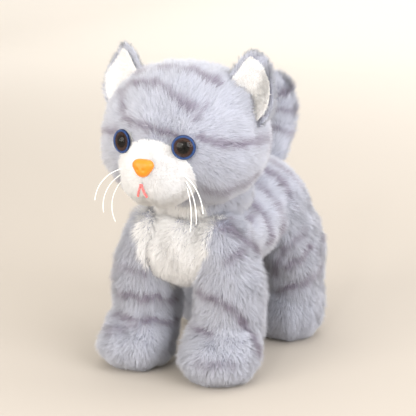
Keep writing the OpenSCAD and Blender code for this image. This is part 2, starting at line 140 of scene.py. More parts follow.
# ---- meshes ----
def make_object(name: str, points: Array, faces: Array, material: bpy.types.Material) -> bpy.types.Object:
    """Makes a smooth-shaded mesh object at the origin.

    Args:
        name: the piece's name.
        points: its corners in the pattern maker's millimetres.
        faces: corner numbers, three or four for each face.
        material: its finish.

    Returns:
        The object, linked to the scene.
    """
    mesh = bpy.data.meshes.new(name)
    count, sides = faces.shape
    mesh.vertices.add(len(points))
    mesh.vertices.foreach_set("co", ((points + SHIFT) * MM).astype(np.float32).ravel())
    mesh.loops.add(count * sides)
    mesh.loops.foreach_set("vertex_index", faces.astype(np.int32).ravel())
    mesh.polygons.add(count)
    mesh.polygons.foreach_set("loop_start", np.arange(0, count * sides, sides, dtype=np.int32))
    mesh.update(calc_edges=True)
    mesh.polygons.foreach_set("use_smooth", np.ones(count, bool))
    mesh.materials.append(material)
    obj = bpy.data.objects.new(name, mesh)
    bpy.context.scene.collection.objects.link(obj)
    return obj


@dataclass
class Bag:
    """A closed form as rings of points from its first end to its last, each end closed to a point."""

    rings: Array
    first: Array
    last: Array

    def __post_init__(self) -> None:
        """Turns the rings round if the form would come out inside out."""
        mid = self.rings.reshape(-1, 3).mean(0)
        if (self.normals() * (self.rings - mid)).sum() < 0:
            self.rings = self.rings[:, ::-1]

    def normals(self) -> Array:
        """Returns a unit normal at each ring point: the cross product of its two grid tangents."""
        down = np.gradient(self.rings, axis=0)
        along = np.roll(self.rings, -1, 1) - np.roll(self.rings, 1, 1)
        return unit(np.cross(down, along))

    def swollen(self, amount: Array | float) -> "Bag":
        """Returns the form with every point moved out along its normal by the amount in millimetres."""
        rings = self.rings + self.normals() * np.asarray(amount)[..., None]
        step = np.mean(np.asarray(amount))
        out = unit(self.first - self.last)
        return Bag(rings, self.first + out * step, self.last - out * step)

    def softened(self, height: float, size: float, seed: int) -> "Bag":
        """Returns the form with the gentle lumps that hand filling leaves."""
        return self.swollen(height * drift(self.rings, size, seed))

    def surface(self) -> tuple[Array, Array]:
        """Returns corner points and triangles of the closed form."""
        m, n = self.rings.shape[:2]
        r, c = grid(np.arange(m - 1), np.arange(n))
        a, b = r * n + c, r * n + (c + 1) % n
        sides = np.stack([a, a + n, b + n, b], -1).reshape(-1, 4)
        k = np.arange(n)
        top = np.stack([np.full(n, m * n), k, (k + 1) % n], -1)
        low = (m - 1) * n
        foot = np.stack([np.full(n, m * n + 1), low + (k + 1) % n, low + k], -1)
        tris = np.concatenate([sides[:, [0, 1, 2]], sides[:, [0, 2, 3]], top, foot])
        return np.concatenate([self.rings.reshape(-1, 3), [self.first, self.last]]), tris

    def mesh(self, name: str, material: bpy.types.Material) -> bpy.types.Object:
        """Builds the closed form as a mesh object."""
        points, tris = self.surface()
        return make_object(name, points, tris, material)


# ---- finishes ----
def put(
    tree: bpy.types.NodeTree, kind: str, feeds: dict | None = None, sets: dict | None = None, **own
) -> bpy.types.Node:
    """Adds a node.

    Args:
        tree: the material's node tree.
        kind: the node's type name.
        feeds: input name to the output socket that feeds it.
        sets: input name to a fixed value.
        own: the node's own settings.

    Returns:
        The new node.
    """
    node = tree.nodes.new(kind)
    for key, value in own.items():
        setattr(node, key, value)
    for key, value in (sets or {}).items():
        node.inputs[key].default_value = value
    for key, socket in (feeds or {}).items():
        tree.links.new(socket, node.inputs[key])
    return node


def shader(
    name: str, sets: dict
) -> tuple[bpy.types.Material, bpy.types.NodeTree, bpy.types.Node, bpy.types.NodeSocket]:
    """Makes a material with one Principled node.

    Args:
        name: the material's name.
        sets: the Principled node's fixed values.

    Returns:
        The material, its tree, the Principled node and an Object coordinate socket.
    """
    material = bpy.data.materials.new(name)
    material.use_nodes = True
    tree = material.node_tree
    tree.nodes.clear()
    main = put(tree, "ShaderNodeBsdfPrincipled", sets=sets)
    put(tree, "ShaderNodeOutputMaterial", {"Surface": main.outputs[0]})
    place = put(tree, "ShaderNodeTexCoord").outputs["Object"]
    return material, tree, main, place


def blend_colours(
    tree: bpy.types.NodeTree, share: bpy.types.NodeSocket, low: str, high: str
) -> bpy.types.NodeSocket:
    """Returns a colour socket that goes from the low hex colour to the high one as the share rises."""
    node = put(tree, "ShaderNodeMix", {"Factor": share}, data_type="RGBA")
    node.inputs[6].default_value = linear(low)
    node.inputs[7].default_value = linear(high)
    return node.outputs[2]


@dataclass(frozen=True)
class PlushPile:
    """Polyester plush pile, sheared and brushed: each fibre takes its dye from the cloth's own print, with
    painted shade at its root.
    """

    name: str
    sheen: float = 0.35
    rough: float = 0.75

    def make(self) -> bpy.types.Material:
        """Builds the material; fibres differ a little in tone over every 9 mm of cloth."""
        material, tree, main, place = shader(
            self.name,
            {
                "Roughness": self.rough,
                "Sheen Weight": self.sheen,
                "Sheen Roughness": 0.5,
                "Specular IOR Level": 0.1,
            },
        )
        # The dye attribute holds the print's colour with painted shade at each lock's root and painted light
        # at its tip.
        dye = put(tree, "ShaderNodeAttribute", attribute_name="dye").outputs["Color"]
        cloud = put(tree, "ShaderNodeTexNoise", {"Vector": place}, {"Scale": 110.0, "Detail": 2.0})
        tone = put(
            tree, "ShaderNodeMapRange", {"Value": cloud.outputs["Fac"]}, {"To Min": 0.93, "To Max": 1.06}
        )
        final = put(tree, "ShaderNodeVectorMath", {0: dye, 1: tone.outputs["Result"]}, operation="MULTIPLY")
        tree.links.new(final.outputs[0], main.inputs["Base Color"])
        return material


@dataclass(frozen=True)
class KnitBacking:
    """Warp-knitted polyester ground cloth, seen only where the pile parts: fine wales 1.2 mm apart."""

    name: str
    light: str
    dark: str

    def make(self) -> bpy.types.Material:
        """Builds the material: wales from a wave pattern, with a slight mottle and a matching relief."""
        material, tree, main, place = shader(self.name, {"Roughness": 0.9, "Sheen Weight": 0.3})
        wale = put(tree, "ShaderNodeTexWave", {"Vector": place}, {"Scale": 260.0, "Distortion": 1.5})
        cloud = put(tree, "ShaderNodeTexNoise", {"Vector": place}, {"Scale": 400.0, "Detail": 3.0})
        both = put(
            tree, "ShaderNodeMath", {0: wale.outputs["Fac"], 1: cloud.outputs["Fac"]}, operation="MULTIPLY"
        ).outputs[0]
        tint = blend_colours(tree, both, self.dark, self.light)
        relief = put(tree, "ShaderNodeBump", {"Height": both}, {"Strength": 0.4, "Distance": 0.0004})
        tree.links.new(tint, main.inputs["Base Color"])
        tree.links.new(relief.outputs[0], main.inputs["Normal"])
        return material


@dataclass(frozen=True)
class Fibrefill:
    """Loose polyester fibre filling: white, matte, in cloudy tufts of about 6 mm with fine strands."""

    name: str = "polyester_fibrefill"

    def make(self) -> bpy.types.Material:
        """Builds the material with tufts and strands in both colour and relief."""
        material, tree, main, place = shader(self.name, {"Roughness": 0.95, "Sheen Weight": 0.5})
        tuft = put(
            tree, "ShaderNodeTexNoise", {"Vector": place}, {"Scale": 160.0, "Detail": 6.0, "Distortion": 1.2}
        )
        tint = blend_colours(tree, tuft.outputs["Fac"], "#D8D6D0", "#FAF9F6")
        relief = put(
            tree, "ShaderNodeBump", {"Height": tuft.outputs["Fac"]}, {"Strength": 0.9, "Distance": 0.002}
        )
        tree.links.new(tint, main.inputs["Base Color"])
        tree.links.new(relief.outputs[0], main.inputs["Normal"])
        return material


@dataclass(frozen=True)
class MouldedPlastic:
    """Injection-moulded plastic with a faint satin grain of about 0.5 mm."""

    name: str
    light: str
    dark: str
    rough: float = 0.35
    grain: float = 0.00004

    def make(self) -> bpy.types.Material:
        """Builds the material: slight cloudiness in the pigment and a fine moulded grain."""
        material, tree, main, place = shader(self.name, {"Roughness": self.rough, "IOR": 1.5})
        cloud = put(tree, "ShaderNodeTexNoise", {"Vector": place}, {"Scale": 300.0, "Detail": 2.0})
        tint = blend_colours(tree, cloud.outputs["Fac"], self.dark, self.light)
        grain = put(tree, "ShaderNodeTexNoise", {"Vector": place}, {"Scale": 2000.0, "Detail": 1.0})
        relief = put(
            tree,
            "ShaderNodeBump",
            {"Height": grain.outputs["Fac"]},
            {"Strength": 0.5, "Distance": self.grain},
        )
        tree.links.new(tint, main.inputs["Base Color"])
        tree.links.new(relief.outputs[0], main.inputs["Normal"])
        return material


@dataclass(frozen=True)
class BackdropPaper:
    """Seamless studio paper, matte: one sheet with painted shade, warm grey on the table near the cat and
    paling towards the wall behind.
    """

    # Painted shade: the sheet's tone on the table near the cat, darker than at the wall.
    near: str = "#B7B0A7"
    far: str = "#E9E5DF"

    def make(self) -> bpy.types.Material:
        """Builds the material: painted shade as a smooth change of tone, darkest just behind the cat and
        palest two metres behind it.
        """
        material, tree, main, place = shader(
            "paper_seamless_rolled_cream", {"Roughness": 0.9, "Specular IOR Level": 0.1}
        )
        parts = put(tree, "ShaderNodeSeparateXYZ", {0: place})
        depth = put(
            tree,
            "ShaderNodeMapRange",
            {"Value": parts.outputs["Y"]},
            {"From Min": 0.1, "From Max": 2.2},
            interpolation_type="SMOOTHSTEP",
        )
        tint = blend_colours(tree, depth.outputs["Result"], self.near, self.far)
        tree.links.new(tint, main.inputs["Base Color"])
        return material


@dataclass(frozen=True)
class PrintedIris:
    """Printed disc of a plastic eye: black pupil, brown ring and blue rim, by distance from its axis."""

    name: str
    centre: tuple[float, float, float]
    facing: tuple[float, float, float]
    radius: float

    def make(self) -> bpy.types.Material:
        """Builds the material: the distance from the axis is the length of the cross product with it."""
        material, tree, main, place = shader(self.name, {"Roughness": 0.5, "Specular IOR Level": 0.0})
        offset = put(tree, "ShaderNodeVectorMath", {0: place}, {1: self.centre}, operation="SUBTRACT")
        across = put(
            tree,
            "ShaderNodeVectorMath",
            {0: offset.outputs[0]},
            {1: self.facing},
            operation="CROSS_PRODUCT",
        )
        far = put(tree, "ShaderNodeVectorMath", {0: across.outputs[0]}, operation="LENGTH")
        speck = put(tree, "ShaderNodeTexNoise", {"Vector": place}, {"Scale": 1500.0})
        ring = put(
            tree, "ShaderNodeMath", {0: far.outputs["Value"]}, {1: 1 / self.radius}, operation="MULTIPLY"
        ).outputs[0]
        worn = put(
            tree, "ShaderNodeMath", {0: speck.outputs["Fac"], 2: ring}, {1: 0.04}, operation="MULTIPLY_ADD"
        ).outputs[0]
        ramp = put(tree, "ShaderNodeValToRGB", {"Fac": worn})
        stops = (
            (0.0, "#030303"),
            (0.50, "#040404"),
            (0.55, "#3B2721"),
            (0.74, "#4C352D"),
            (0.80, "#15131B"),
            (0.85, "#34528F"),
            (0.96, "#3F63A6"),
            (1.0, "#1C2A4C"),
        )
        marks = ramp.color_ramp.elements
        marks[0].position, marks[0].color = stops[0][0], linear(stops[0][1])
        marks[-1].position, marks[-1].color = stops[-1][0], linear(stops[-1][1])
        for at, code in stops[1:-1]:
            marks.new(at).color = linear(code)
        tree.links.new(ramp.outputs["Color"], main.inputs["Base Color"])
        return material


@dataclass(frozen=True)
class ClearDome:
    """Clear acrylic dome, moulded and polished: sharp window reflections over the printed iris."""

    name: str = "acrylic_clear_moulded"

    def make(self) -> bpy.types.Material:
        """Builds the material, with a very slight unevenness of gloss from the mould."""
        material, tree, main, place = shader(
            self.name,
            {"IOR": 1.02, "Transmission Weight": 1.0, "Coat Weight": 0.3, "Coat Roughness": 0.01},
        )
        film = put(tree, "ShaderNodeTexNoise", {"Vector": place}, {"Scale": 60.0})
        gloss = put(
            tree, "ShaderNodeMapRange", {"Value": film.outputs["Fac"]}, {"To Min": 0.0, "To Max": 0.04}
        )
        tree.links.new(gloss.outputs["Result"], main.inputs["Roughness"])
        return material


class Finish(Enum):
    """The finishes that the pieces share."""

    GREY_PILE = PlushPile("polyester_plush_brushed_grey")
    WHITE_PILE = PlushPile("polyester_plush_brushed_white", 0.25)
    GREY_KNIT = KnitBacking("polyester_warp_knit_grey", "#B9BCCB", "#9A9CAE")
    WHITE_KNIT = KnitBacking("polyester_warp_knit_white", "#F1EFEC", "#DCD9D6")
    FILLING = Fibrefill()
    NOSE = MouldedPlastic("abs_satin_moulded_orange", "#E58612", "#DE7C0C", 0.45, 0.00003)
    WASHER = MouldedPlastic("polyethylene_matte_moulded_white", "#F0EFEA", "#E4E2DC", 0.55)
    THREAD = MouldedPlastic("cotton_embroidery_thread_pink", "#F28480", "#E0605F", 0.8, 0.0002)
    NYLON = MouldedPlastic("nylon_monofilament_drawn_white", "#FBFBF8", "#F0F0EC", 0.3)
    CLEAR = ClearDome()


_made: dict[str, bpy.types.Material] = {}


def finish(kind: Finish) -> bpy.types.Material:
    """Returns the one material of a shared finish, made at first use."""
    if kind.name not in _made:
        _made[kind.name] = kind.value.make()
    return _made[kind.name]


# ---- fur ----
# Painted shade and light: a lock's colour is darkened at its root, where light doesn't reach, and lightened
# a little at its tip.
ROOT_PAINTED_SHADE, TIP_PAINTED_LIGHT = 0.88, 1.04
# The least height of a lock above the floor, in millimetres.
FLOOR_GAP = 0.15
# Turns the three whole numbers of a clump's box into one number of its own.
BOX_KEY = (1, 4099, 16785407)


@dataclass(frozen=True)
class Pile:
    """How the pile of one cloth stands: lengths in millimetres, angles in degrees from upright."""

    length: float = 7.4
    width: float = 0.42
    lean: float = 50.0
    density: float = 2.95
    clump: float = 3.0
    gather: float = 0.22
    ruffle: float = 0.4


@dataclass
class Coat:
    """Grows pile on part of a bag. The callables take root places and give a value for each.

    Attributes:
        bag: the form that the pile grows on.
        pile: how the pile stands.
        keep: how densely roots stand there, 0 to 1.
        comb: the way the pile is brushed.
        dye: its linear colour.
        reach: the length there, as a share of the pile's.
    """

    bag: Bag
    pile: Pile
    keep: Callable[[Array, Array], Array]
    comb: Callable[[Array, Array], Array]
    dye: Callable[[Array], Array]
    reach: Callable[[Array], Array] = field(default=lambda p: np.ones(len(p)))

    def roots(self, rng: np.random.Generator) -> tuple[Array, Array]:
        """Picks roots evenly by area: a random grid cell by its area, then a random place in the cell.

        Args:
            rng: the piece's own random source.

        Returns:
            Root places and unit normals there.
        """
        ring, normal = self.bag.rings, self.bag.normals()
        quad = [ring[:-1], ring[1:], np.roll(ring, -1, 1)[1:], np.roll(ring, -1, 1)[:-1]]
        lean = [normal[:-1], normal[1:], np.roll(normal, -1, 1)[1:], np.roll(normal, -1, 1)[:-1]]
        area = np.linalg.norm(np.cross(quad[2] - quad[0], quad[3] - quad[1]), axis=-1).ravel() / 2
        total = int(area.sum() * self.pile.density)
        cell = rng.choice(area.size, total, p=area / area.sum())
        s, t = rng.random((2, total, 1))
        corner = [q.reshape(-1, 3)[cell] for q in quad]
        facing = [q.reshape(-1, 3)[cell] for q in lean]
        root = mix(mix(corner[0], corner[3], s), mix(corner[1], corner[2], s), t)
        out = unit(mix(mix(facing[0], facing[3], s), mix(facing[1], facing[2], s), t))
        chosen = rng.random(total) < self.keep(root, out)
        return root[chosen], out[chosen]

    def strands(self, rng: np.random.Generator) -> tuple[Array, Array, Array, Array]:
        """Shapes each fibre lock as a three-sided spike that leans along the combing.

        The lean varies smoothly over the cloth and a little by chance, and each tip is drawn towards the
        mean tip of its clump. The combing is turned by smooth noise and by chance.

        Args:
            rng: the piece's own random source.

        Returns:
            Corner places (lock, 4, 3), each lock's softened normal, root places and shares of brightness.
        """
        p = self.pile
        root, out = self.roots(rng)
        n = len(root)
        way = self.comb(root, out)
        swirl = np.stack([drift(root, 17, 5), drift(root, 15, 6), drift(root, 16, 7)], -1)
        way = unit(way) + p.ruffle * (0.55 * swirl + 0.75 * rng.normal(size=(n, 3)))
        flat = unit(way - (way * out).sum(-1, keepdims=True) * out)
        side = np.cross(out, flat)
        vary = 1 + 0.16 * drift(root, 11, 8) + 0.13 * rng.normal(size=n)
        long = (p.length * self.reach(root) * vary)[:, None]
        slope = np.radians(p.lean + 9 * rng.normal(size=(n, 1)) + 7 * drift(root, 9, 9)[:, None])
        tip = root + long * (out * np.cos(slope) + flat * np.sin(slope))
        warp = root + 1.6 * swirl
        box = np.floor(warp / p.clump).astype(np.int64)
        _, group = np.unique(box @ BOX_KEY, return_inverse=True)
        group = group.ravel()
        many = np.bincount(group)
        centre = np.stack([np.bincount(group, tip[:, k]) / many for k in range(3)], -1)[group]
        pull = p.gather * np.clip(1 + 0.4 * rng.normal(size=(n, 1)), 0, 1.6)
        tip = tip + pull * (centre - tip)
        half = side * (p.width / 2)
        sunk = root - 0.5 * out
        spots = np.stack([sunk + half, sunk - half, sunk + flat * p.width * 0.6, tip], 1)
        spots[..., 2] = np.maximum(spots[..., 2], FLOOR_GAP + 0.1 * rng.random((n, 4)))
        shade = 1 + 0.035 * rng.normal(size=n) + 0.03 * drift(root, 6, 10)
        soft = unit(out + 0.2 * flat + 0.16 * rng.normal(size=(n, 3)))
        return spots, soft, root, shade

    def grow(self, name: str, material: bpy.types.Material, seed: int) -> bpy.types.Object:
        """Builds the pile as one mesh of closed locks, with its dye, painted shade at each root and an
        unwrap of one cell a lock.

        Args:
            name: the piece's name.
            material: its finish.
            seed: its random seed.

        Returns:
            The pile's object.
        """
        rng = np.random.default_rng(seed)
        spots, soft, root, shade = self.strands(rng)
        n = len(root)
        spike = np.array([[0, 2, 1], [0, 1, 3], [1, 2, 3], [2, 0, 3]])
        faces = (np.arange(n)[:, None, None] * 4 + spike).reshape(-1, 3)
        obj = make_object(name, spots.reshape(-1, 3), faces, material)
        mesh = obj.data
        colour = np.ones((n, 4, 4), np.float32)
        # Painted shade: the three root corners are darkened and the tip corner lightened, standing in for
        # light between the locks.
        tone = np.array([ROOT_PAINTED_SHADE, ROOT_PAINTED_SHADE, ROOT_PAINTED_SHADE, TIP_PAINTED_LIGHT])
        colour[..., :3] = np.clip(self.dye(root)[:, None] * (shade[:, None] * tone)[..., None], 0, 1)
        mesh.color_attributes.new("dye", "FLOAT_COLOR", "POINT").data.foreach_set("color", colour.ravel())
        across = int(np.ceil(np.sqrt(n)))
        cell = np.stack(np.divmod(np.arange(n), across)[::-1], -1)[:, None]
        inside = np.array([[0.1, 0.1], [0.9, 0.1], [0.5, 0.3], [0.5, 0.9]])
        corner = ((cell + inside) / across).reshape(-1, 2)
        layer = mesh.uv_layers.new(name="OFBake").data
        layer.foreach_set("uv", corner[faces.ravel()].astype(np.float32).ravel())
        mesh.normals_split_custom_set_from_vertices(np.repeat(soft, 4, 0))
        log.info("%s: %d locks, %d triangles", name, n, len(faces))
        return obj


# ---- the print on the cloth ----
GREY = np.array(linear("#C3C6D2")[:3])
STRIPE = np.array(linear("#867D8D")[:3])
WHITE = np.array(linear("#FCFBFA")[:3])


@dataclass(frozen=True)
class Stripe:
    """A sprayed stripe, placed by a few pairs on the chart of the form that it crosses.

    Attributes:
        places: the pairs, which are rounded off into a smooth run.
        half: its half-width in millimetres.
        depth: how much of the dye lands.
        both: whether the other side carries it too.
    """

    places: tuple[tuple[float, float], ...]
    half: float = 3.0
    depth: float = 0.85
    both: bool = False

    def run(self) -> Array:
        """Returns the run after three passes that cut each corner a quarter of the way along its sides."""
        line = np.array(self.places, float)
        for _ in range(3):
            cut = np.stack([mix(line[:-1], line[1:], 0.25), mix(line[:-1], line[1:], 0.75)], 1)
            line = np.concatenate([line[:1], cut.reshape(-1, 2), line[-1:]])
        return line

    def cover(self, spots: Array, line: Array) -> Array:
        """Returns how much dye lands at each flat spot: a bell of its distance to the line."""
        room = 3 * self.half
        by = ((spots > line.min(0) - room) & (spots < line.max(0) + room)).all(1)
        some = spots[by]
        near = np.full(len(some), 1e9)
        for a, b in zip(line[:-1], line[1:]):
            along = b - a
            s = np.clip((some - a) @ along / (along @ along), 0, 1)
            near = np.minimum(near, np.linalg.norm(some - a - s[:, None] * along, axis=1))
        cover = np.zeros(len(spots))
        cover[by] = self.depth * np.exp(-((near / self.half) ** 2))
        return cover


@dataclass(frozen=True)
class Print:
    """The striped print of one form: how its cloth is charted, and the stripes on that chart.

    Attributes:
        read: turns places into pairs on the chart.
        flat: turns pairs into flat millimetres.
        stripes: the stripes.
    """

    read: Callable[[Array], Array]
    flat: Callable[[Array], Array]
    stripes: tuple[Stripe, ...]

    def dye(self, points: Array) -> Array:
        """Returns the cloth's colour: grey, purple-grey where a stripe is sprayed, and white on the bib."""
        stray = [drift(points, 9, 21), drift(points, 10, 22), drift(points, 8, 23)]
        wander = points + 1.3 * np.stack(stray, -1)
        spots = self.flat(self.read(wander))
        cover = np.zeros(len(points))
        for stripe in self.stripes:
            for flip in (1, -1) if stripe.both else (1,):
                cover = np.maximum(cover, stripe.cover(spots, self.flat(stripe.run() * [flip, 1])))
        cover = np.clip(cover * (1 + 0.25 * drift(points, 14, 24)), 0, 1)[:, None]
        bib = ease(bib_edge(wander) / 2.0 + 0.5)[:, None]
        return mix(mix(GREY, STRIPE, cover), WHITE, bib)


HEAD_STRIPES = (
    Stripe(((-62, 50), (-42, 67), (20, 70), (45, 63), (63, 47))),
    Stripe(((-56, 30), (-42, 43), (-15, 50), (15, 42), (35, 28))),
    Stripe(((-46, 32), (-30, 20), (-12, 12), (25, 7)), 2.8),
    Stripe(((38, 7), (62, 1), (100, 2)), both=True),
    Stripe(((46, -32), (66, -31), (90, -22)), 3.2, 0.75, True),
    Stripe(((45, 32), (36, 20)), 2.4, 0.6),
    Stripe(((110, 36), (150, 32), (180, 32)), 3.2, 0.8, True),
    Stripe(((105, 18), (140, 15), (180, 17)), 3.2, 0.7, True),
    Stripe(((100, -6), (135, -4), (180, -2)), 3.2, 0.7, True),
)
TRUNK_STRIPES = (
    Stripe(((15, 52), (55, 58), (85, 56)), 3.4, both=True),
    Stripe(((20, 66), (60, 72), (90, 80)), 3.4, 0.8, True),
    Stripe(((110, 20), (50, 22), (0, 21)), 3.2, 0.8, True),
    Stripe(((110, 38), (50, 40), (0, 41)), 3.2, 0.8, True),
    Stripe(((74, 18), (86, 4), (93, -23)), 3.2, 0.8),
    Stripe(((65, -30), (90, -24), (103, -10)), 3.6, 0.95),
)
SHOULDER_STRIPES = (
    Stripe(((-25, 111), (35, 103), (95, 96), (140, 88)), 3.6, 0.95),
    Stripe(((96, 96), (38, 91), (17, 87)), 3.2, 0.8),
)
FRONT_LEFT_STRIPES = SHOULDER_STRIPES + (
    Stripe(((-34, 64), (10, 62), (46, 51), (62, 38), (69, 24)), 2.8, 0.9),
    Stripe(((-50, 37), (0, 38)), 2.8, 0.75),
    Stripe(((0, 20), (30, 20)), 2.6, 0.5),
)
FRONT_RIGHT_STRIPES = (
    Stripe(((50, 72), (0, 74), (-26, 72)), 2.6, 0.65),
    Stripe(((25, 55), (-27, 55), (-90, 50)), 2.8, 0.9),
    Stripe(((32, 38), (-30, 37), (-87, 34)), 2.8),
    Stripe(((38, 28), (0, 29), (-15, 34)), 2.6, 0.6),
    Stripe(((140, 60), (90, 57), (45, 64)), 3.0, 0.8),
)
HIND_STRIPES = (
    Stripe(((45, 86), (20, 79), (-5, 56)), 3.0, 0.8),
    Stripe(((55, 74), (20, 63)), 3.2),
    Stripe(((100, 58), (50, 50), (8, 43)), 3.2),
    Stripe(((150, 72), (110, 76), (85, 68)), 3.2, 0.7),
)
TAIL_STRIPES = tuple(Stripe(((-1, along), (1, along)), 3.0, 0.85) for along in (22, 40, 58))


def bib_edge(points: Array) -> Array:
    """Returns how far inside the white bib a place on the chest is, in millimetres, by a shield outline."""
    heights = [52, 57, 62, 68, 76, 86, 96, 106, 118, 121]
    widths = [-6, 3, 10, 16, 21.5, 26, 28.5, 29.5, 31, -9]
    wide = np.interp(points[:, 2], heights, widths)
    return np.where(points[:, 1] < -28, wide - np.abs(points[:, 0] + 0.8), -9)


def plain_grey(points: Array) -> Array:
    """Returns the ground grey for every place."""
    return np.broadcast_to(GREY, points.shape)


def plain_white(points: Array) -> Array:
    """Returns undyed white for every place."""
    return np.broadcast_to(WHITE, points.shape)


def dress(nodes: tuple[str, ...] = ()) -> None:
    """Hides the CAD nodes that a piece stands for."""
    if nodes:
        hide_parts(*nodes)


# ---- the parts ----
@dataclass
class Head:
    """The stuffed head with its muzzle, eyes, nose, mouth and whiskers.

    The lengths are in millimetres. The crown's panel ends at a latitude, and the back's panel at a
    longitude on each side, both in degrees.
    """

    centre: tuple[float, float, float] = (0.0, -26.0, 163.5)
    half_width: float = 59.0
    front: float = 48.0
    back: float = 52.0
    up: float = 51.5
    down: float = 48.5
    cheek: float = 3.5
    muzzle_out: float = 15.0
    pile_depth: float = 6.0
    eye_radius: float = 7.9
    crown_edge: float = 40.0
    nape_edge: float = 110.0

    def reach(self, d: Array) -> Array:
        """Returns centre-to-surface distance: an oval of power 2.15 with a cosine bell for the cheeks."""
        b = np.where(d[..., 1] < 0, self.front, self.back)
        c = np.where(d[..., 2] > 0, self.up, self.down)
        oval = (
            np.abs(d[..., 0] / self.half_width) ** 2.15
            + np.abs(d[..., 1] / b) ** 2.15
            + np.abs(d[..., 2] / c) ** 2.15
        )
        fold = np.stack([np.abs(d[..., 0]), d[..., 1], d[..., 2]], -1)
        turn = np.degrees(np.arccos(np.clip(fold @ np.array([0.82, -0.36, -0.445]), -1, 1)))
        return oval ** (-1 / 2.15) + self.cheek * fall(turn, 45)

    def point(self, lon: Array, lat: Array, off: float) -> Array:
        """Returns places on the head's surface, sunk by off millimetres."""
        d = aim(lon, lat)
        return np.array(self.centre) + d * (self.reach(d) - off)[..., None]

    def eye_spots(self) -> tuple[Array, Array]:
        """Returns the two eyes' centres and the directions they face."""
        spot = self.point(np.array(28.0), np.array(0.5), 1.2)
        a, t = np.radians(19), np.radians(88)
        facing = np.array([np.sin(a) * np.sin(t), -np.cos(a) * np.sin(t), np.cos(t)])
        return np.array([spot, spot * [-1, 1, 1]]), np.array([facing, facing * [-1, 1, 1]])

    def bag(self, off: float) -> Bag:
        """Returns the head's form sunk by off: longitude by latitude, with shallow sockets for the eyes."""
        lat, lon = grid(np.linspace(88, -88, 90), around(144))
        rings = self.point(lon, lat, off)
        for spot in self.eye_spots()[0]:
            near = np.linalg.norm(rings - spot, axis=-1)
            rings = rings + unit(np.array(self.centre) - rings) * (1.4 * fall(near, 15))[..., None]
        ends = self.point(np.array([0.0, 0.0]), np.array([90.0, -90.0]), off)
        return Bag(rings, ends[0], ends[1]).softened(0.7, 24, 3)

    def muzzle_place(self, points: Array) -> Array:
        """Returns the muzzle's polar reach at each place: 0 at its middle and 1 at its seam."""
        d = unit(points - np.array(self.centre))
        lat = np.degrees(np.arcsin(np.clip(d[..., 2], -1, 1)))
        lon = np.degrees(np.arctan2(d[..., 0], -d[..., 1]))
        return np.hypot(lon / 37, (lat + 30) / np.where(lat > -30, 33, 27))

    def muzzle_point(self, e: Array, phi: Array, sink: Array | float) -> Array:
        """Returns places on the muzzle.

        Args:
            e: polar reach, 0 in the middle to 1 at the seam.
            phi: degrees round the middle, 90 upwards.
            sink: how far under the cloth, in millimetres.

        Returns:
            The head's surface raised by the muzzle's swell, less a cleft down its lower middle.
        """
        s, c = np.sin(np.radians(phi)), np.cos(np.radians(phi))
        lon, lat = 37 * e * c, -30 + np.where(s > 0, 33, 27) * e * s
        d = aim(lon, lat)
        lift = self.muzzle_out * np.maximum(0, 1 - e * e) ** (1.3 + 1.3 * np.maximum(0, s))
        cleft = 3.6 * np.exp(-((lon / 5.5) ** 2)) * ease((-27 - lat) / 12) * (1 - e**6 * 0.3)
        return np.array(self.centre) + d * (self.reach(d) + 0.5 + lift - cleft - sink)[..., None]

    def muzzle_bag(self, sink: float) -> Bag:
        """Returns the muzzle as a closed cushion: its front swell and a back just inside the head."""
        e_front = np.sin(np.linspace(0.03, 1, 34) * np.pi / 2)
        e_back = np.linspace(0.985, 0.05, 14)
        phi = around(108)
        e, a = grid(e_front, phi)
        shape = self.muzzle_point(e, a, sink * np.minimum(1, (1.03 - e) * 6) + 3.5 * e**8)
        eb, ab = grid(e_back, phi)
        sb, cb = np.sin(np.radians(ab)), np.cos(np.radians(ab))
        d = aim(37 * eb * cb, -30 + np.where(sb > 0, 33, 27) * eb * sb)
        back = np.array(self.centre) + d * (self.reach(d) - 4 - sink)[..., None]
        mid = aim(np.array(0.0), np.array(-30.0))
        tip = self.muzzle_point(np.array(0.0), np.array(0.0), sink)
        rear = np.array(self.centre) + mid * (float(self.reach(mid)) - 4 - sink)
        return Bag(np.concatenate([shape, back]), tip, rear)

    def comb(self, points: Array, out: Array) -> Array:
        """Returns the brushing of the head: away from the nose, then back and down over the cheeks."""
        away = unit(points - np.array([0.0, -84.0, 150.0]))
        for spot in self.eye_spots()[0]:
            gap = points - spot
            away = away + unit(gap) * (1.2 * fall(np.linalg.norm(gap, axis=1), 17))[:, None]
        return away + [0, 0.35, -0.35]

    def keep(self, points: Array, out: Array) -> Array:
        """Returns where the head's grey pile grows: not under the muzzle, an eye or the neck."""
        share = (self.muzzle_place(points) > 0.95).astype(float)
        for spot in self.eye_spots()[0]:
            share *= np.linalg.norm(points - spot, axis=1) > self.eye_radius + 0.5
        hidden = np.hypot(points[:, 0], points[:, 1] + 8) < 22
        return share * ~(hidden & (points[:, 2] < 130))

    def shorter(self, points: Array) -> Array:
        """Returns the pile's share of full length: clipped round the eyes and the muzzle's seam."""
        share = 0.8 + 0.2 * ease((self.muzzle_place(points) - 0.97) / 0.3)
        for spot in self.eye_spots()[0]:
            share = share * mix(1.0, 0.42, fall(np.linalg.norm(points - spot, axis=1), 17))
        return share

    def latitude(self, points: Array) -> Array:
        """Returns each place's degrees above the level of the head's centre."""
        return np.degrees(np.arcsin(unit(points - np.array(self.centre))[:, 2]))

    def longitude(self, points: Array) -> Array:
        """Returns each place's degrees round the head, 0 in front and 90 to the left."""
        return np.degrees(np.arctan2(points[:, 0], -(points[:, 1] - self.centre[1])))

    def printed(self) -> Print:
        """Returns the head's print, charted by longitude and latitude, about a millimetre to a degree."""

        def read(points: Array) -> Array:
            """Returns the longitude and latitude of each place."""
            d = unit(points - np.array(self.centre))
            lon, lat = np.arctan2(d[:, 0], -d[:, 1]), np.arcsin(np.clip(d[:, 2], -1, 1))
            return np.degrees(np.stack([lon, lat], -1))

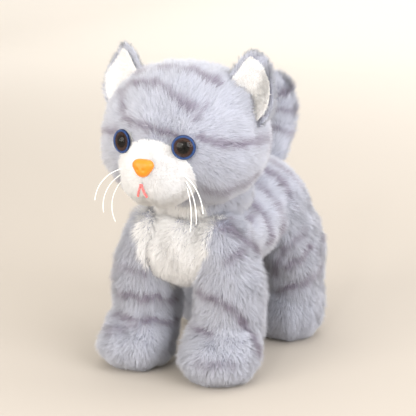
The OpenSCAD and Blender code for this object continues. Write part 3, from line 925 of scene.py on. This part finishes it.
        def flat(at: Array) -> Array:
            """Returns the chart's millimetres: a turn is shorter the nearer it lies to a pole."""
            return np.stack([at[:, 0] * np.cos(np.radians(at[:, 1])), at[:, 1]], -1)

        return Print(read, flat, HEAD_STRIPES)

    def build(self) -> None:
        """Builds and dresses the head."""
        skin = self.bag(self.pile_depth)
        cloth = skin.mesh("head_cloth", finish(Finish.GREY_KNIT))
        dress()
        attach(cloth, "head")
        fill = self.bag(9.5).softened(0.8, 9, 31).mesh("head_filling", finish(Finish.FILLING))
        dress(("head_stuffing",))
        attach(fill, "head")
        brow, nape = self.crown_edge, self.nape_edge
        lat, lon = self.latitude, self.longitude
        zones = {
            "head_crown": lambda p: lat(p) > brow,
            "head_face_left": lambda p: (lat(p) <= brow) & (lon(p) >= 0) & (lon(p) < nape),
            "head_face_right": lambda p: (lat(p) <= brow) & (lon(p) < 0) & (lon(p) > -nape),
            "head_back": lambda p: (lat(p) <= brow) & (np.abs(lon(p)) >= nape),
        }
        cloth_print = self.printed()
        for k, (node, zone) in enumerate(zones.items()):
            coat = Coat(
                skin,
                Pile(density=3.25),
                lambda p, o, zone=zone: self.keep(p, o) * zone(p),
                self.comb,
                cloth_print.dye,
                self.shorter,
            )
            pile = coat.grow(node + "_pile", finish(Finish.GREY_PILE), 100 + k)
            dress((node,))
            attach(pile, "head")
        self.build_muzzle()
        self.build_features()

    def build_muzzle(self) -> None:
        """Builds the white muzzle: its cloth, its filling and its short upright pile."""
        skin = self.muzzle_bag(1.9)
        cloth = skin.mesh("muzzle_cloth", finish(Finish.WHITE_KNIT))
        dress()
        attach(cloth, "head")
        fill = self.muzzle_bag(4.2).mesh("muzzle_filling", finish(Finish.FILLING))
        dress(("muzzle_stuffing",))
        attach(fill, "head")
        nose = self.muzzle_point(np.array(17 / 33), np.array(90.0), 0.0)

        def beyond_nose(p: Array) -> Array:
            """Returns whether each place lies outside the patch that the moulded nose covers."""
            return np.linalg.norm((p - nose) * [1, 1, 1.25], axis=1) > 4.5

        coat = Coat(
            skin,
            Pile(2.9, 0.36, 34, 8.5, 2.0, 0.2, 0.6),
            lambda p, o: ((o[:, 1] < 0.25) & beyond_nose(p)).astype(float),
            lambda p, o: unit(p - nose) + np.array([0, 0, -0.2]),
            plain_white,
        )
        pile = coat.grow("muzzle_pile", finish(Finish.WHITE_PILE), 120)
        dress(("muzzle_cover",))
        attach(pile, "head")

    def build_features(self) -> None:
        """Gives the moulded eyes, nose, washers, stitches and whiskers their finishes."""
        spots, facings = self.eye_spots()
        for k, side in enumerate(("left", "right")):
            iris = PrintedIris(
                f"acetal_printed_iris_{side}",
                metres(spots[k]),
                tuple(facings[k].tolist()),
                self.eye_radius * MM,
            ).make()
            paint(f"eye_{side}_back", iris)
            paint(f"eye_{side}_lens", finish(Finish.CLEAR))
            paint(f"eye_{side}_washer", finish(Finish.WASHER))
            paint(f"whiskers_{side}", finish(Finish.NYLON))
        self.build_nose()
        paint("nose_washer", finish(Finish.WASHER))
        paint("mouth_stitching", finish(Finish.THREAD))

    def build_nose(self) -> None:
        """Builds the moulded nose: a low dome, three-cornered and rounded, dented at the nostrils."""
        face = np.concatenate([np.linspace(0.04, 0.9, 22), np.sin(np.linspace(0.72, 1.0, 14) * np.pi / 2)])
        e, phi = grid(np.concatenate([face, np.linspace(0.95, 0.2, 6)]), np.radians(around(96)))
        front = (np.arange(len(e)) < len(face))[:, None]
        outline = 5.9 * (1 + 0.105 * np.cos(3 * (phi + np.pi / 2)))
        x, y = outline * e * np.cos(phi) * 1.27, outline * e * np.sin(phi)
        wing = np.exp(-(((np.abs(x) - 4.0) / 2.4) ** 2 + ((y - 1.6) / 2.4) ** 2))
        nostril = np.exp(-(((np.abs(x) - 2.2) / 0.9) ** 2 + ((y + 2.0) / 0.9) ** 2))
        high = 4.4 * np.sqrt(np.clip(1 - e**2.6, 0, 1)) + 0.4 * wing - 0.8 * nostril
        high = np.where(front, high, -0.4)
        a = np.radians(78)
        out, up = np.array([0, -np.sin(a), np.cos(a)]), np.array([0, np.cos(a), np.sin(a)])
        base = self.muzzle_point(np.array(17 / 33), np.array(90.0), -0.6)
        rings = base + x[..., None] * np.array([1.0, 0, 0]) + y[..., None] * up + high[..., None] * out
        nose = Bag(rings, base + 4.6 * out, base - 0.4 * out).mesh("nose_moulding", finish(Finish.NOSE))
        dress(("nose",))
        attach(nose, "head")


def paint(node: str, material: bpy.types.Material) -> None:
    """Gives a CAD node a finish by filling its material slots."""
    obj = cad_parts[node]
    if not obj.material_slots:
        obj.data.materials.append(material)
    for slot in obj.material_slots:
        slot.material = material


@dataclass
class Ear:
    """One ear: a cupped grey back and a white lining, sewn into the head at its seam."""

    side: int
    seam: tuple[float, float, float] = (49.0, -20.0, 194.6)
    across: tuple[float, float, float] = (0.622, 0.0, -0.783)
    upward: tuple[float, float, float] = (0.783, 0.0, 0.622)
    half: float = 21.0
    height: float = 19.5
    cup: float = 8.0
    depth: float = 2.0

    @property
    def name(self) -> str:
        """Returns the ear's name."""
        return "ear_left" if self.side > 0 else "ear_right"

    def place(self, c: Array, s: Array, n: Array) -> Array:
        """Returns places on the ear.

        Args:
            c: across, -1 to 1.
            s: up from the seam, 0 to 1.
            n: forwards from the ear's middle surface, in millimetres.

        Returns:
            A round-topped leaf whose edges curl forwards.
        """
        u = c * self.half * np.sqrt(np.clip(1 - np.clip(s, 0, 1) ** 2.4, 0, 1)) - self.lean(s)
        v = mix(-u * u / 120, self.height, s) - 0.9 * c * c * s
        lift = self.cup * np.abs(c) ** 1.3 * (1 - 0.45 * s) + n
        flat = u[..., None] * np.array(self.across) + v[..., None] * np.array(self.upward)
        at = np.array(self.seam) + flat - lift[..., None] * np.array([0.0, 1.0, 0.0])
        return at * [self.side, 1, 1]

    @staticmethod
    def lean(s: Array) -> Array:
        """Returns how far the ear's tip has swung inwards at a height, by the three-halves power of it."""
        return 13 * np.sign(s) * np.abs(s) ** 1.5

    def leaf(self, c_half: float, s_low: float, s_high: float, thick: float, front: float) -> Bag:
        """Returns a padded leaf: rings round an oval section, from the base to the tip.

        Args:
            c_half: share of the ear's width that it takes.
            s_low: where it starts.
            s_high: where it ends.
            thick: its half-thickness in millimetres.
            front: how far forward its middle lies.

        Returns:
            The closed form.
        """
        s, a = grid(np.linspace(s_low, s_high, 30), np.radians(around(72)))
        plump = np.sqrt(np.clip(1 - ((s - s_low) / (s_high - s_low) * 1.02) ** 6, 0.02, 1))
        rings = self.place(c_half * np.cos(a), s, front + thick * np.sin(a) * plump)
        tip = self.place(np.array(0.0), np.array(s_high + 0.01), np.array(front))
        return Bag(rings, rings[0].mean(0), tip)

    def build(self) -> None:
        """Builds and dresses the ear."""
        seam, up = np.array(self.seam) * [self.side, 1, 1], np.array(self.upward) * [self.side, 1, 1]
        skin = self.leaf(0.93, -0.22, 0.95, self.depth, -1.0)
        lining = self.leaf(0.76, -0.2, 0.80, 1.1, self.depth + 0.4)
        pieces = [
            (skin.mesh(self.name + "_cloth", finish(Finish.GREY_KNIT)), "grey_fur", ()),
            (lining.mesh(self.name + "_lining_cloth", finish(Finish.WHITE_KNIT)), "white_fur", ()),
        ]
        back = Coat(
            skin,
            Pile(4.6, 0.42, 50, 3.4),
            lambda p, o: 1.0 - ((o[:, 1] < -0.3) & (self.inside(p, 0.70, 0.74))),
            lambda p, o: up + 0.4 * unit(p - seam),
            plain_grey,
        )
        front = Coat(
            lining,
            Pile(2.6, 0.36, 42, 6.5, 2.0, 0.2, 0.5),
            lambda p, o: (o[:, 1] < 0.2).astype(float),
            lambda p, o: up + 0.2 * unit(p - seam),
            plain_white,
        )
        fur = back.grow(self.name + "_pile", finish(Finish.GREY_PILE), 140 + self.side)
        pieces.append((fur, "grey_fur", (self.name + "_back",)))
        fur = front.grow(self.name + "_lining_pile", finish(Finish.WHITE_PILE), 150 + self.side)
        pieces.append((fur, "white_fur", (self.name + "_lining",)))
        for obj, slot, nodes in pieces:
            dress(nodes)
            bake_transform(obj)

    def inside(self, points: Array, c_half: float, s_high: float) -> Array:
        """Returns which places lie behind the lining, by the leaf's own two coordinates."""
        gap = points * [self.side, 1, 1] - np.array(self.seam)
        u, v = gap @ np.array(self.across), gap @ np.array(self.upward)
        s = np.clip(v / self.height, 0, 0.999)
        wide = self.half * np.sqrt(1 - s**2.4)
        return (np.abs(u + self.lean(s)) < c_half * wide) & (v < s_high * self.height)


@dataclass
class Torso:
    """The stuffed trunk: chest, barrel and rump in one form, with the neck sleeve under the head."""

    shoulder: tuple[float, float] = (-24.0, 84.0)
    hip: tuple[float, float] = (68.0, 93.0)
    chest: tuple[float, float] = (51.0, 27.0)
    rump: tuple[float, float] = (47.0, 45.0)
    withers: tuple[float, float] = (-15.0, 97.5)
    withers_size: tuple[float, float] = (45.0, 22.0)
    breast: tuple[float, float] = (-25.5, 92.0)
    breast_size: tuple[float, float] = (43.0, 24.0)
    pile_depth: float = 6.0

    @staticmethod
    def crossing(th: Array, o: Array, m: Array, a: Array, b: Array) -> Array:
        """Returns the far crossing of a ray with an ellipse, the larger root of their quadratic.

        Args:
            th: the ray's angle in radians.
            o: the height it starts from.
            m: the ellipse's centre height.
            a: its half-width.
            b: its half-height.

        Returns:
            Distances, 0 where the ray misses.
        """
        a, b = np.maximum(a, 0.5), np.maximum(b, 0.5)
        p = (np.cos(th) / a) ** 2 + (np.sin(th) / b) ** 2
        q = 2 * (o - m) * np.sin(th) / b**2
        disc = q * q - 4 * p * (((o - m) / b) ** 2 - 1)
        return np.where(disc > 0, (-q + np.sqrt(np.maximum(disc, 0))) / (2 * p), 0)

    def bag(self, off: float) -> Bag:
        """Returns the trunk's form: at each section the greatest of four swells and the barrel, smoothed."""
        y0, y1 = self.shoulder[0] - self.chest[1] + off + 0.02, self.hip[0] + self.rump[1] - off - 0.02
        even = np.linspace(-1, 1, 96)
        y = mix((y0 + y1) / 2, y1, np.sin(even * np.pi / 2) * 0.6 + even * 0.4)
        y, th = grid(y, np.radians(around(120)))
        back = mix(111, 126, ease((y + 10) / 60))
        runs = [-24, -18, -12, -7, -3, 1, 7, 11, 15, 24, 45]
        rises = [57, 58.2, 61, 64, 67, 69, 69, 66, 61, 58.5, 62]
        belly = np.interp(y, runs, rises)
        core = np.where(y < -24, 84.0, np.where(y < 45, (back + belly) / 2, 93.0))
        core = mix(84.0, core, ease((y + 30) / 12))
        core = mix(core, 93.0, ease((y - 30) / 20))
        reach = np.zeros_like(y)
        for (cy, cz), (a, r) in (
            (self.shoulder, self.chest),
            (self.hip, self.rump),
            (self.withers, self.withers_size),
            (self.breast, self.breast_size),
        ):
            k = np.sqrt(np.maximum(0, 1 - ((y - cy) / (r - off)) ** 2))
            far = self.crossing(th, core, cz, (a - off) * k, (r - off) * k)
            reach = np.maximum(reach, np.where(k > 0.001, far, 0))
        flank = mix(51, 44, ease((y + 24) / 30)) - off
        barrel = self.crossing(th, core, core, flank, (back - belly) / 2 - off)
        reach = np.maximum(reach, np.where((y > -24) & (y < 56), barrel, 0))
        inner = reach[1:-1]
        for _ in range(10):
            blur = (reach[:-2] + 2 * reach[1:-1] + reach[2:]) / 4
            inner = (np.roll(blur, 1, 1) + 2 * blur + np.roll(blur, -1, 1)) / 4
            reach[1:-1] = inner
        rings = np.stack([reach * np.cos(th), y, core + reach * np.sin(th)], -1)
        ends = np.array([[0, y0 - 0.4, 84.0], [0, y1 + 0.4, 93.0]])
        return Bag(rings, ends[0], ends[1]).softened(0.8, 26, 12)

    @staticmethod
    def comb(points: Array, out: Array) -> Array:
        """Returns the brushing of the trunk: down the chest, back and down along the flanks."""
        back = ease((points[:, 1] + 40) / 30)
        return np.stack([0.1 * np.sign(points[:, 0]), 0.15 + 0.65 * back, -0.9 + 0.2 * back], -1)

    @staticmethod
    def printed() -> Print:
        """Returns the trunk's print, charted by degrees down from the spine and millimetres along it."""
        return Print(
            lambda p: np.stack([np.degrees(np.arctan2(p[:, 0], p[:, 2] - 98)), p[:, 1]], -1),
            lambda at: at * [0.7, 1],
            TRUNK_STRIPES,
        )

    def build(self) -> None:
        """Builds and dresses the trunk and the neck."""
        skin = self.bag(self.pile_depth)
        cloth = skin.mesh("torso_cloth", finish(Finish.GREY_KNIT))
        dress()
        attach(cloth, "torso")
        fill = self.bag(9.5).mesh("torso_filling", finish(Finish.FILLING))
        dress(("torso_stuffing",))
        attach(fill, "torso")

        def bib(p: Array) -> Array:
            """Returns whether each place lies on the bib, with 1.5 mm of its edge."""
            return bib_edge(p) > -1.5

        def low(p: Array, o: Array) -> Array:
            """Returns whether each place lies under the belly, where the cloth faces down."""
            return (o[:, 2] < -0.82) & (p[:, 1] > -30)

        def under_head(p: Array) -> Array:
            """Returns whether each place lies in the patch on top that the neck covers."""
            return (np.hypot(p[:, 0], (p[:, 1] + 8)) < 20) & (p[:, 2] > 100)

        zones = {
            "torso_left_panel": lambda p, o: (p[:, 0] >= 0) & ~bib(p) & ~low(p, o),
            "torso_right_panel": lambda p, o: (p[:, 0] < 0) & ~bib(p) & ~low(p, o),
            "belly_gusset": lambda p, o: ~bib(p) & low(p, o),
            "chest_bib": lambda p, o: bib(p),
        }
        cloth_print = self.printed()
        for k, (node, zone) in enumerate(zones.items()):
            white = node == "chest_bib"
            coat = Coat(
                skin,
                Pile(6.6, 0.4, 48, 5.0, 2.6, 0.2, 0.4) if white else Pile(),
                lambda p, o, zone=zone: (zone(p, o) & ~under_head(p)).astype(float),
                self.comb,
                cloth_print.dye,
            )
            fur = finish(Finish.WHITE_PILE if white else Finish.GREY_PILE)
            pile = coat.grow(node + "_pile", fur, 200 + k)
            dress((node,))
            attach(pile, "torso")
        self.build_neck()

    def build_neck(self) -> None:
        """Builds the ball of filling in the neck and the sleeve of pile in the crease under the head."""
        lat, lon = grid(np.linspace(86, -86, 40), around(64))
        d, pole = aim(lon, lat), np.array([0, 0, 23.5])
        ball = Bag(NECK_BALL + d * 23.5, NECK_BALL + pole, NECK_BALL - pole).softened(0.7, 9, 41)
        fill = ball.mesh("neck_filling", finish(Finish.FILLING))
        dress(("neck_stuffing",))
        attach(fill, "neck")
        form = NECK_BALL + [0, -1, -17] + d * [35, 31, 19]
        sleeve = Bag(form, NECK_BALL + [0, -1, 2.2], NECK_BALL + [0, -1, -36.2])
        cloth = sleeve.mesh("neck_cloth", finish(Finish.GREY_KNIT))

        def throat(p: Array) -> Array:
            """Returns whether each place lies on the white strip between the muzzle and the bib."""
            return ((p[:, 1] < -18) & (np.abs(p[:, 0]) < 19))[:, None]

        coat = Coat(
            sleeve,
            Pile(),
            lambda p, o: (np.abs(o[:, 2]) < 0.75).astype(float),
            lambda p, o: np.full_like(p, [0, 0.3, -1]),
            lambda p: np.where(throat(p), WHITE, GREY),
        )
        pile = coat.grow("neck_pile", finish(Finish.GREY_PILE), 230)
        for obj in (cloth, pile):
            dress(())
            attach(obj, "neck")


# The millimetres that one degree takes up round a leg.
LEG_ARC = 0.42


@dataclass
class Leg:
    """One leg with its paw and sole. Radii are of the column, then the paw's half-width and half-length."""

    name: str
    side: int
    stance: float
    column_y: float
    column_r: float
    paw_y: float
    paw_wide: float
    paw_long: float
    axis: tuple[float, float]
    top: float
    haunch: float
    stripes: tuple[Stripe, ...]
    pile_depth: float = 5.8

    def bag(self, off: float, foot: float) -> Bag:
        """Returns the leg's form: level oval rings from the shoulder down to the paw.

        Args:
            off: how far it is sunk under the pile.
            foot: the height of its lowest ring.

        Returns:
            The closed form, tucked into the trunk at its top.
        """
        z = mix(self.top, foot, np.sin(np.linspace(0, 1, 72) * np.pi / 2) ** 0.9)
        z, lon = grid(z, np.radians(around(96)))
        s = ease((z - 13) / 30)
        toe = np.sqrt(np.clip(1 - 0.5 * (np.maximum(0, 12 - z) / 12) ** 2, 0.05, 1))
        tuck = ease((z - 58) / (self.top - 58))
        shut = np.sqrt(np.clip(1 - np.clip((z - self.top + 26) / 26.5, 0, 1) ** 2.2, 0, 1))
        swell = self.haunch * fall(z - 74, 44)
        trim = 1.5 * ease((26 - z) / 20)
        wide = (mix(self.paw_wide, self.column_r, s) * toe - off - trim - 5.5 * tuck) * shut
        long = (mix(self.paw_long, self.column_r, s) * toe - off - 2 * trim + swell) * shut
        x = self.stance - 7.5 * tuck
        y = mix(mix(self.paw_y, self.column_y, s), self.axis[0], tuck)
        power = 2 / 2.25
        cx, cy = np.sin(lon), -np.cos(lon)
        over, ahead = np.sign(cx) * np.abs(cx) ** power, np.sign(cy) * np.abs(cy) ** power
        rings = np.stack([x + wide * over, y + long * ahead, z], -1) * [self.side, 1, 1]
        first = np.array([(self.stance - 7.5) * self.side, self.axis[0], self.top])
        last = np.array([self.stance * self.side, self.paw_y, foot])
        return Bag(rings, first, last).softened(0.7, 22, 50 + len(self.name) + self.side)

    def comb(self, points: Array, out: Array) -> Array:
        """Returns the brushing of the leg: down, and forwards over the paw."""
        ahead = ease((34 - points[:, 2]) / 24)
        away = unit((points - [self.stance * self.side, self.paw_y, 10]) * [1, 1, 0])
        return np.array([0, 0.12, -1]) + away * (0.7 * ahead)[:, None]

    def keep(self, points: Array, out: Array) -> Array:
        """Returns where the leg's pile grows: not under the sole and not deep inside the trunk."""
        level = ease((points[:, 2] - 1.0) / 2)
        y, z = self.axis
        a, r = (51, 27) if y < 0 else (47, 45)
        deep = np.sqrt((points[:, 0] / a) ** 2 + ((points[:, 1] - y) ** 2 + (points[:, 2] - z) ** 2) / r**2)
        return level * (deep > 0.86) * (out[:, 2] > -0.93)

    def shorter(self, points: Array) -> Array:
        """Returns the pile's length as a share of its full length: short at the sole, full 2 cm above."""
        return mix(0.45, 1.0, ease((points[:, 2] - 2) / 18))

    def printed(self) -> Print:
        """Returns the leg's print, charted by degrees from its front to its outside and by height."""

        def read(points: Array) -> Array:
            """Returns the turn round the leg and the height of each place."""
            turn = np.arctan2(self.side * points[:, 0] - self.stance, self.column_y - points[:, 1])
            return np.stack([np.degrees(turn), points[:, 2]], -1)

        return Print(read, lambda at: at * [LEG_ARC, 1], self.stripes)

    def build(self) -> None:
        """Builds and dresses the leg."""
        skin = self.bag(self.pile_depth, 2.2)
        cloth = skin.mesh(self.name + "_leg_cloth", finish(Finish.GREY_KNIT))
        fill = self.bag(9.2, 7.0).mesh(self.name + "_leg_filling", finish(Finish.FILLING))
        coat = Coat(skin, Pile(), self.keep, self.comb, self.printed().dye, self.shorter)
        pile = coat.grow(self.name + "_leg_pile", finish(Finish.GREY_PILE), 300 + sum(map(ord, self.name)))
        dress(())
        dress((self.name + "_stuffing",))
        dress((self.name + "_outer_panel", self.name + "_inner_panel"))
        for obj in (cloth, fill, pile):
            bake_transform(obj)
        self.build_sole()

    def build_sole(self) -> None:
        """Builds the flat sole as a thin padded disc of short plush."""
        turn = np.radians(around(96))
        span = np.array([0.2, 0.36, 0.48, 0.54, 0.57, 0.55, 0.5, 0.36, 0.2])
        high = np.array([3.2, 3.2, 3.1, 2.6, 1.6, 0.7, 0.25, 0.15, 0.12])
        toe = np.sqrt(1 - 0.42 * ((11 - 2) / 11) ** 2)
        rings = np.stack(
            [
                (self.stance + span[:, None] * self.paw_wide * toe * np.sin(turn)) * self.side,
                self.paw_y - span[:, None] * self.paw_long * toe * np.cos(turn),
                np.broadcast_to(high[:, None], (9, 96)),
            ],
            -1,
        )
        mid = [self.stance * self.side, self.paw_y]
        pad = Bag(rings, np.array([*mid, 3.2]), np.array([*mid, 0.12]))
        sole = pad.mesh(self.name + "_sole_pad", finish(Finish.GREY_KNIT))
        dress((self.name + "_sole",))
        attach(sole, self.name + "_leg")


@dataclass
class Tail:
    """The upright tail: one curved tube of fur fabric in two stuffed halves."""

    path: tuple[tuple[float, float, float], ...] = (
        (0, 102, 124),
        (0, 124, 144),
        (0, 127, 172),
        (0, 108, 190),
    )
    radius: float = 14.0
    pile_depth: float = 5.4

    def spine(self, t: Array) -> tuple[Array, Array]:
        """Returns places and unit directions along the tail's cubic curve."""
        p = np.array(self.path, float)
        t = np.asarray(t, float)[..., None]
        u = 1 - t
        at = p[0] * u**3 + p[1] * 3 * u * u * t + p[2] * 3 * u * t * t + p[3] * t**3
        way = (p[1] - p[0]) * u * u + (p[2] - p[1]) * 2 * u * t + (p[3] - p[2]) * t * t
        return at, unit(way)

    def bag(self, off: float, low: float, high: float) -> Bag:
        """Returns a length of the tail as rings round its spine, with both ends rounded.

        Args:
            off: how far it is sunk under the pile.
            low: where it starts along the curve.
            high: where it ends.

        Returns:
            The closed form.
        """
        s = np.linspace(-1, 1, 90)
        t = mix(low, high, (s + 1) / 2)
        at, way = self.spine(t)
        wide = self.radius * (0.9 + 0.1 * ease(t / 0.4)) * (1 - 0.12 * ease((t - 0.6) / 0.4)) - off
        size = np.linalg.norm(np.diff(at, axis=0), axis=1).sum()
        gap = np.minimum(s + 1, 1 - s) * size / 2
        shut = np.sqrt(np.clip(1 - (1 - np.clip(gap / (wide + 2), 0, 1)) ** 2, 0.0004, 1))
        turn = np.radians(around(72))[None, :, None]
        side = np.array([1.0, 0, 0])
        ring = np.cos(turn) * side + np.sin(turn) * np.cross(way, side)[:, None]
        rings = at[:, None] + (wide * shut)[:, None, None] * ring
        return Bag(rings, at[0] - way[0] * 0.1, at[-1] + way[-1] * 0.1).softened(0.5, 18, 61)

    def build(self) -> None:
        """Builds and dresses the tail."""
        at, way = self.spine(np.array(0.5))
        skin = self.bag(self.pile_depth, 0.0, 0.94)
        cloth = skin.mesh("tail_cloth", finish(Finish.GREY_KNIT))
        dress(())
        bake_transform(cloth)
        for k, (half, low, high) in enumerate((("tail_lower", 0.02, 0.5), ("tail_upper", 0.5, 0.9))):
            fill = self.bag(8.6, low, high).mesh(half + "_filling", finish(Finish.FILLING))
            dress((half + "_stuffing",))
            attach(fill, half)
            upper = k == 1
            coat = Coat(
                skin,
                Pile(),
                lambda p, o, upper=upper: ((((p - at) @ way) > 0) == upper).astype(float),
                lambda p, o: self.follow(p) * 0.9 + np.array([0, 0.1, -0.1]),
                self.printed().dye,
            )
            pile = coat.grow(half + "_pile", finish(Finish.GREY_PILE), 400 + k)
            dress((half + "_sleeve",))
            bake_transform(pile)

    def station(self, points: Array) -> tuple[Array, Array, Array]:
        """Finds the nearest of 120 stations on the spine to each place.

        Args:
            points: the places.

        Returns:
            The station's direction, its distance along the spine and the step from it to the place.
        """
        at, way = self.spine(np.linspace(0, 1, 120))
        gone = np.concatenate([[0], np.cumsum(np.linalg.norm(np.diff(at, axis=0), axis=1))])
        near = np.argmin((at**2).sum(-1) - 2 * points @ at.T, axis=1)
        return way[near], gone[near], points - at[near]

    def follow(self, points: Array) -> Array:
        """Returns the spine's direction beside each place."""
        return self.station(points)[0]

    def printed(self) -> Print:
        """Returns the tail's print: rings at distances along the spine."""
        return Print(lambda p: self.station(p)[1][:, None] * [0, 1], lambda at: at, TAIL_STRIPES)


@dataclass
class Studio:
    """The pale floor and backdrop, the soft lights and the camera."""

    azimuth: float = 29.0
    elevation: float = 13.0
    distance: float = 0.9
    lens: float = 111.4

    def build(self) -> None:
        """Sets the stage."""
        self.build_camera()
        self.build_floor()
        for name, place, size, power, tint in (
            ("key", (-0.5, -1.7, 0.75), 1.2, 26.0, "#FFFAF4"),
            ("fill", (1.7, -0.5, 0.9), 1.4, 32.0, "#FAFAFF"),
            ("top", (0.1, 0.4, 1.9), 1.6, 9.0, "#FFFFFF"),
            ("rim", (1.3, 1.2, 0.9), 1.2, 11.0, "#FDFDFF"),
            ("back", (-1.2, 1.5, 1.0), 1.4, 3.0, "#FFFFFF"),
            ("window", (0.35, -1.5, 0.85), 0.16, 5.0, "#FFFFFF"),
        ):
            lamp = bpy.data.lights.new(name, "AREA")
            lamp.size, lamp.energy, lamp.color = size, power, linear(tint)[:3]
            obj = bpy.data.objects.new(name, lamp)
            obj.location = place
            aimed = np.array([0.0, 0.0, 0.1]) - np.array(place)
            obj.rotation_euler = look(aimed)
            bpy.context.scene.collection.objects.link(obj)
        world = bpy.data.worlds.new("studio")
        world.use_nodes = True
        back = world.node_tree.nodes["Background"]
        back.inputs["Color"].default_value = linear("#F6F1EA")
        back.inputs["Strength"].default_value = 1.12
        bpy.context.scene.world = world
        bpy.context.scene.view_settings.view_transform = "Standard"

    def build_camera(self) -> None:
        """Places the camera on its bearing, aimed a little above the middle of the cat."""
        a, e = np.radians(self.azimuth), np.radians(self.elevation)
        back = np.array([np.sin(a) * np.cos(e), -np.cos(a) * np.cos(e), np.sin(e)])
        right = np.array([np.cos(a), np.sin(a), 0.0])
        up = np.cross(back, right)
        target = (np.array([0.0, 0.0, 105.0]) + SHIFT + 2.1 * right + 2.8 * up) * MM
        lens = bpy.data.cameras.new("camera")
        lens.lens, lens.sensor_width, lens.clip_start = self.lens, 36.0, 0.01
        camera = bpy.data.objects.new("camera", lens)
        camera.location = target + back * self.distance
        camera.rotation_euler = look(-back)
        bpy.context.scene.collection.objects.link(camera)
        bpy.context.scene.camera = camera

    def build_floor(self) -> None:
        """Builds a table top that curves up into a wall behind: a straight run, an arc and a rise."""
        arc = np.linspace(0, np.pi / 2, 24)
        run = np.concatenate([[-3.0, 0.0, 1.0], 1.6 + 0.9 * np.sin(arc), [2.5]]) * 1000
        rise = np.concatenate([[0.0, 0.0, 0.0], 0.9 - 0.9 * np.cos(arc), [3.5]]) * 1000
        wide = np.linspace(-4000, 4000, 9)
        run, across = grid(run, wide)
        points = np.stack([across, run, np.repeat(rise[:, None], 9, 1)], -1)
        r, c = grid(np.arange(len(run) - 1), np.arange(8))
        a = r * 9 + c
        faces = np.stack([a, a + 1, a + 10, a + 9], -1).reshape(-1, 4)
        make_object("backdrop", points.reshape(-1, 3) - SHIFT, faces, BackdropPaper().make())


def look(way: Array) -> tuple[float, float, float]:
    """Returns the turn that points a lamp or camera along a direction, level with the floor."""
    d = unit(np.asarray(way, float))
    return (float(np.arccos(-d[2])), 0.0, float(np.arctan2(-d[0], d[1])))


def main() -> None:
    """Builds every sub-assembly in order."""
    logging.basicConfig(level=logging.INFO, format="%(message)s")
    Studio().build()
    Head().build()
    for side in (1, -1):
        Ear(side).build()
    Torso().build()
    for side, word, front in ((1, "left", FRONT_LEFT_STRIPES), (-1, "right", FRONT_RIGHT_STRIPES)):
        Leg("front_" + word, side, 32.6, -24, 26.5, -39, 30, 31, (-24, 84), 112, 0, front).build()
        Leg("hind_" + word, side, 32, 75, 26, 70, 28.5, 31, (68, 93), 119, 8, HIND_STRIPES).build()
    Tail().build()
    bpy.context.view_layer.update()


if __name__ == "__main__":
    main()
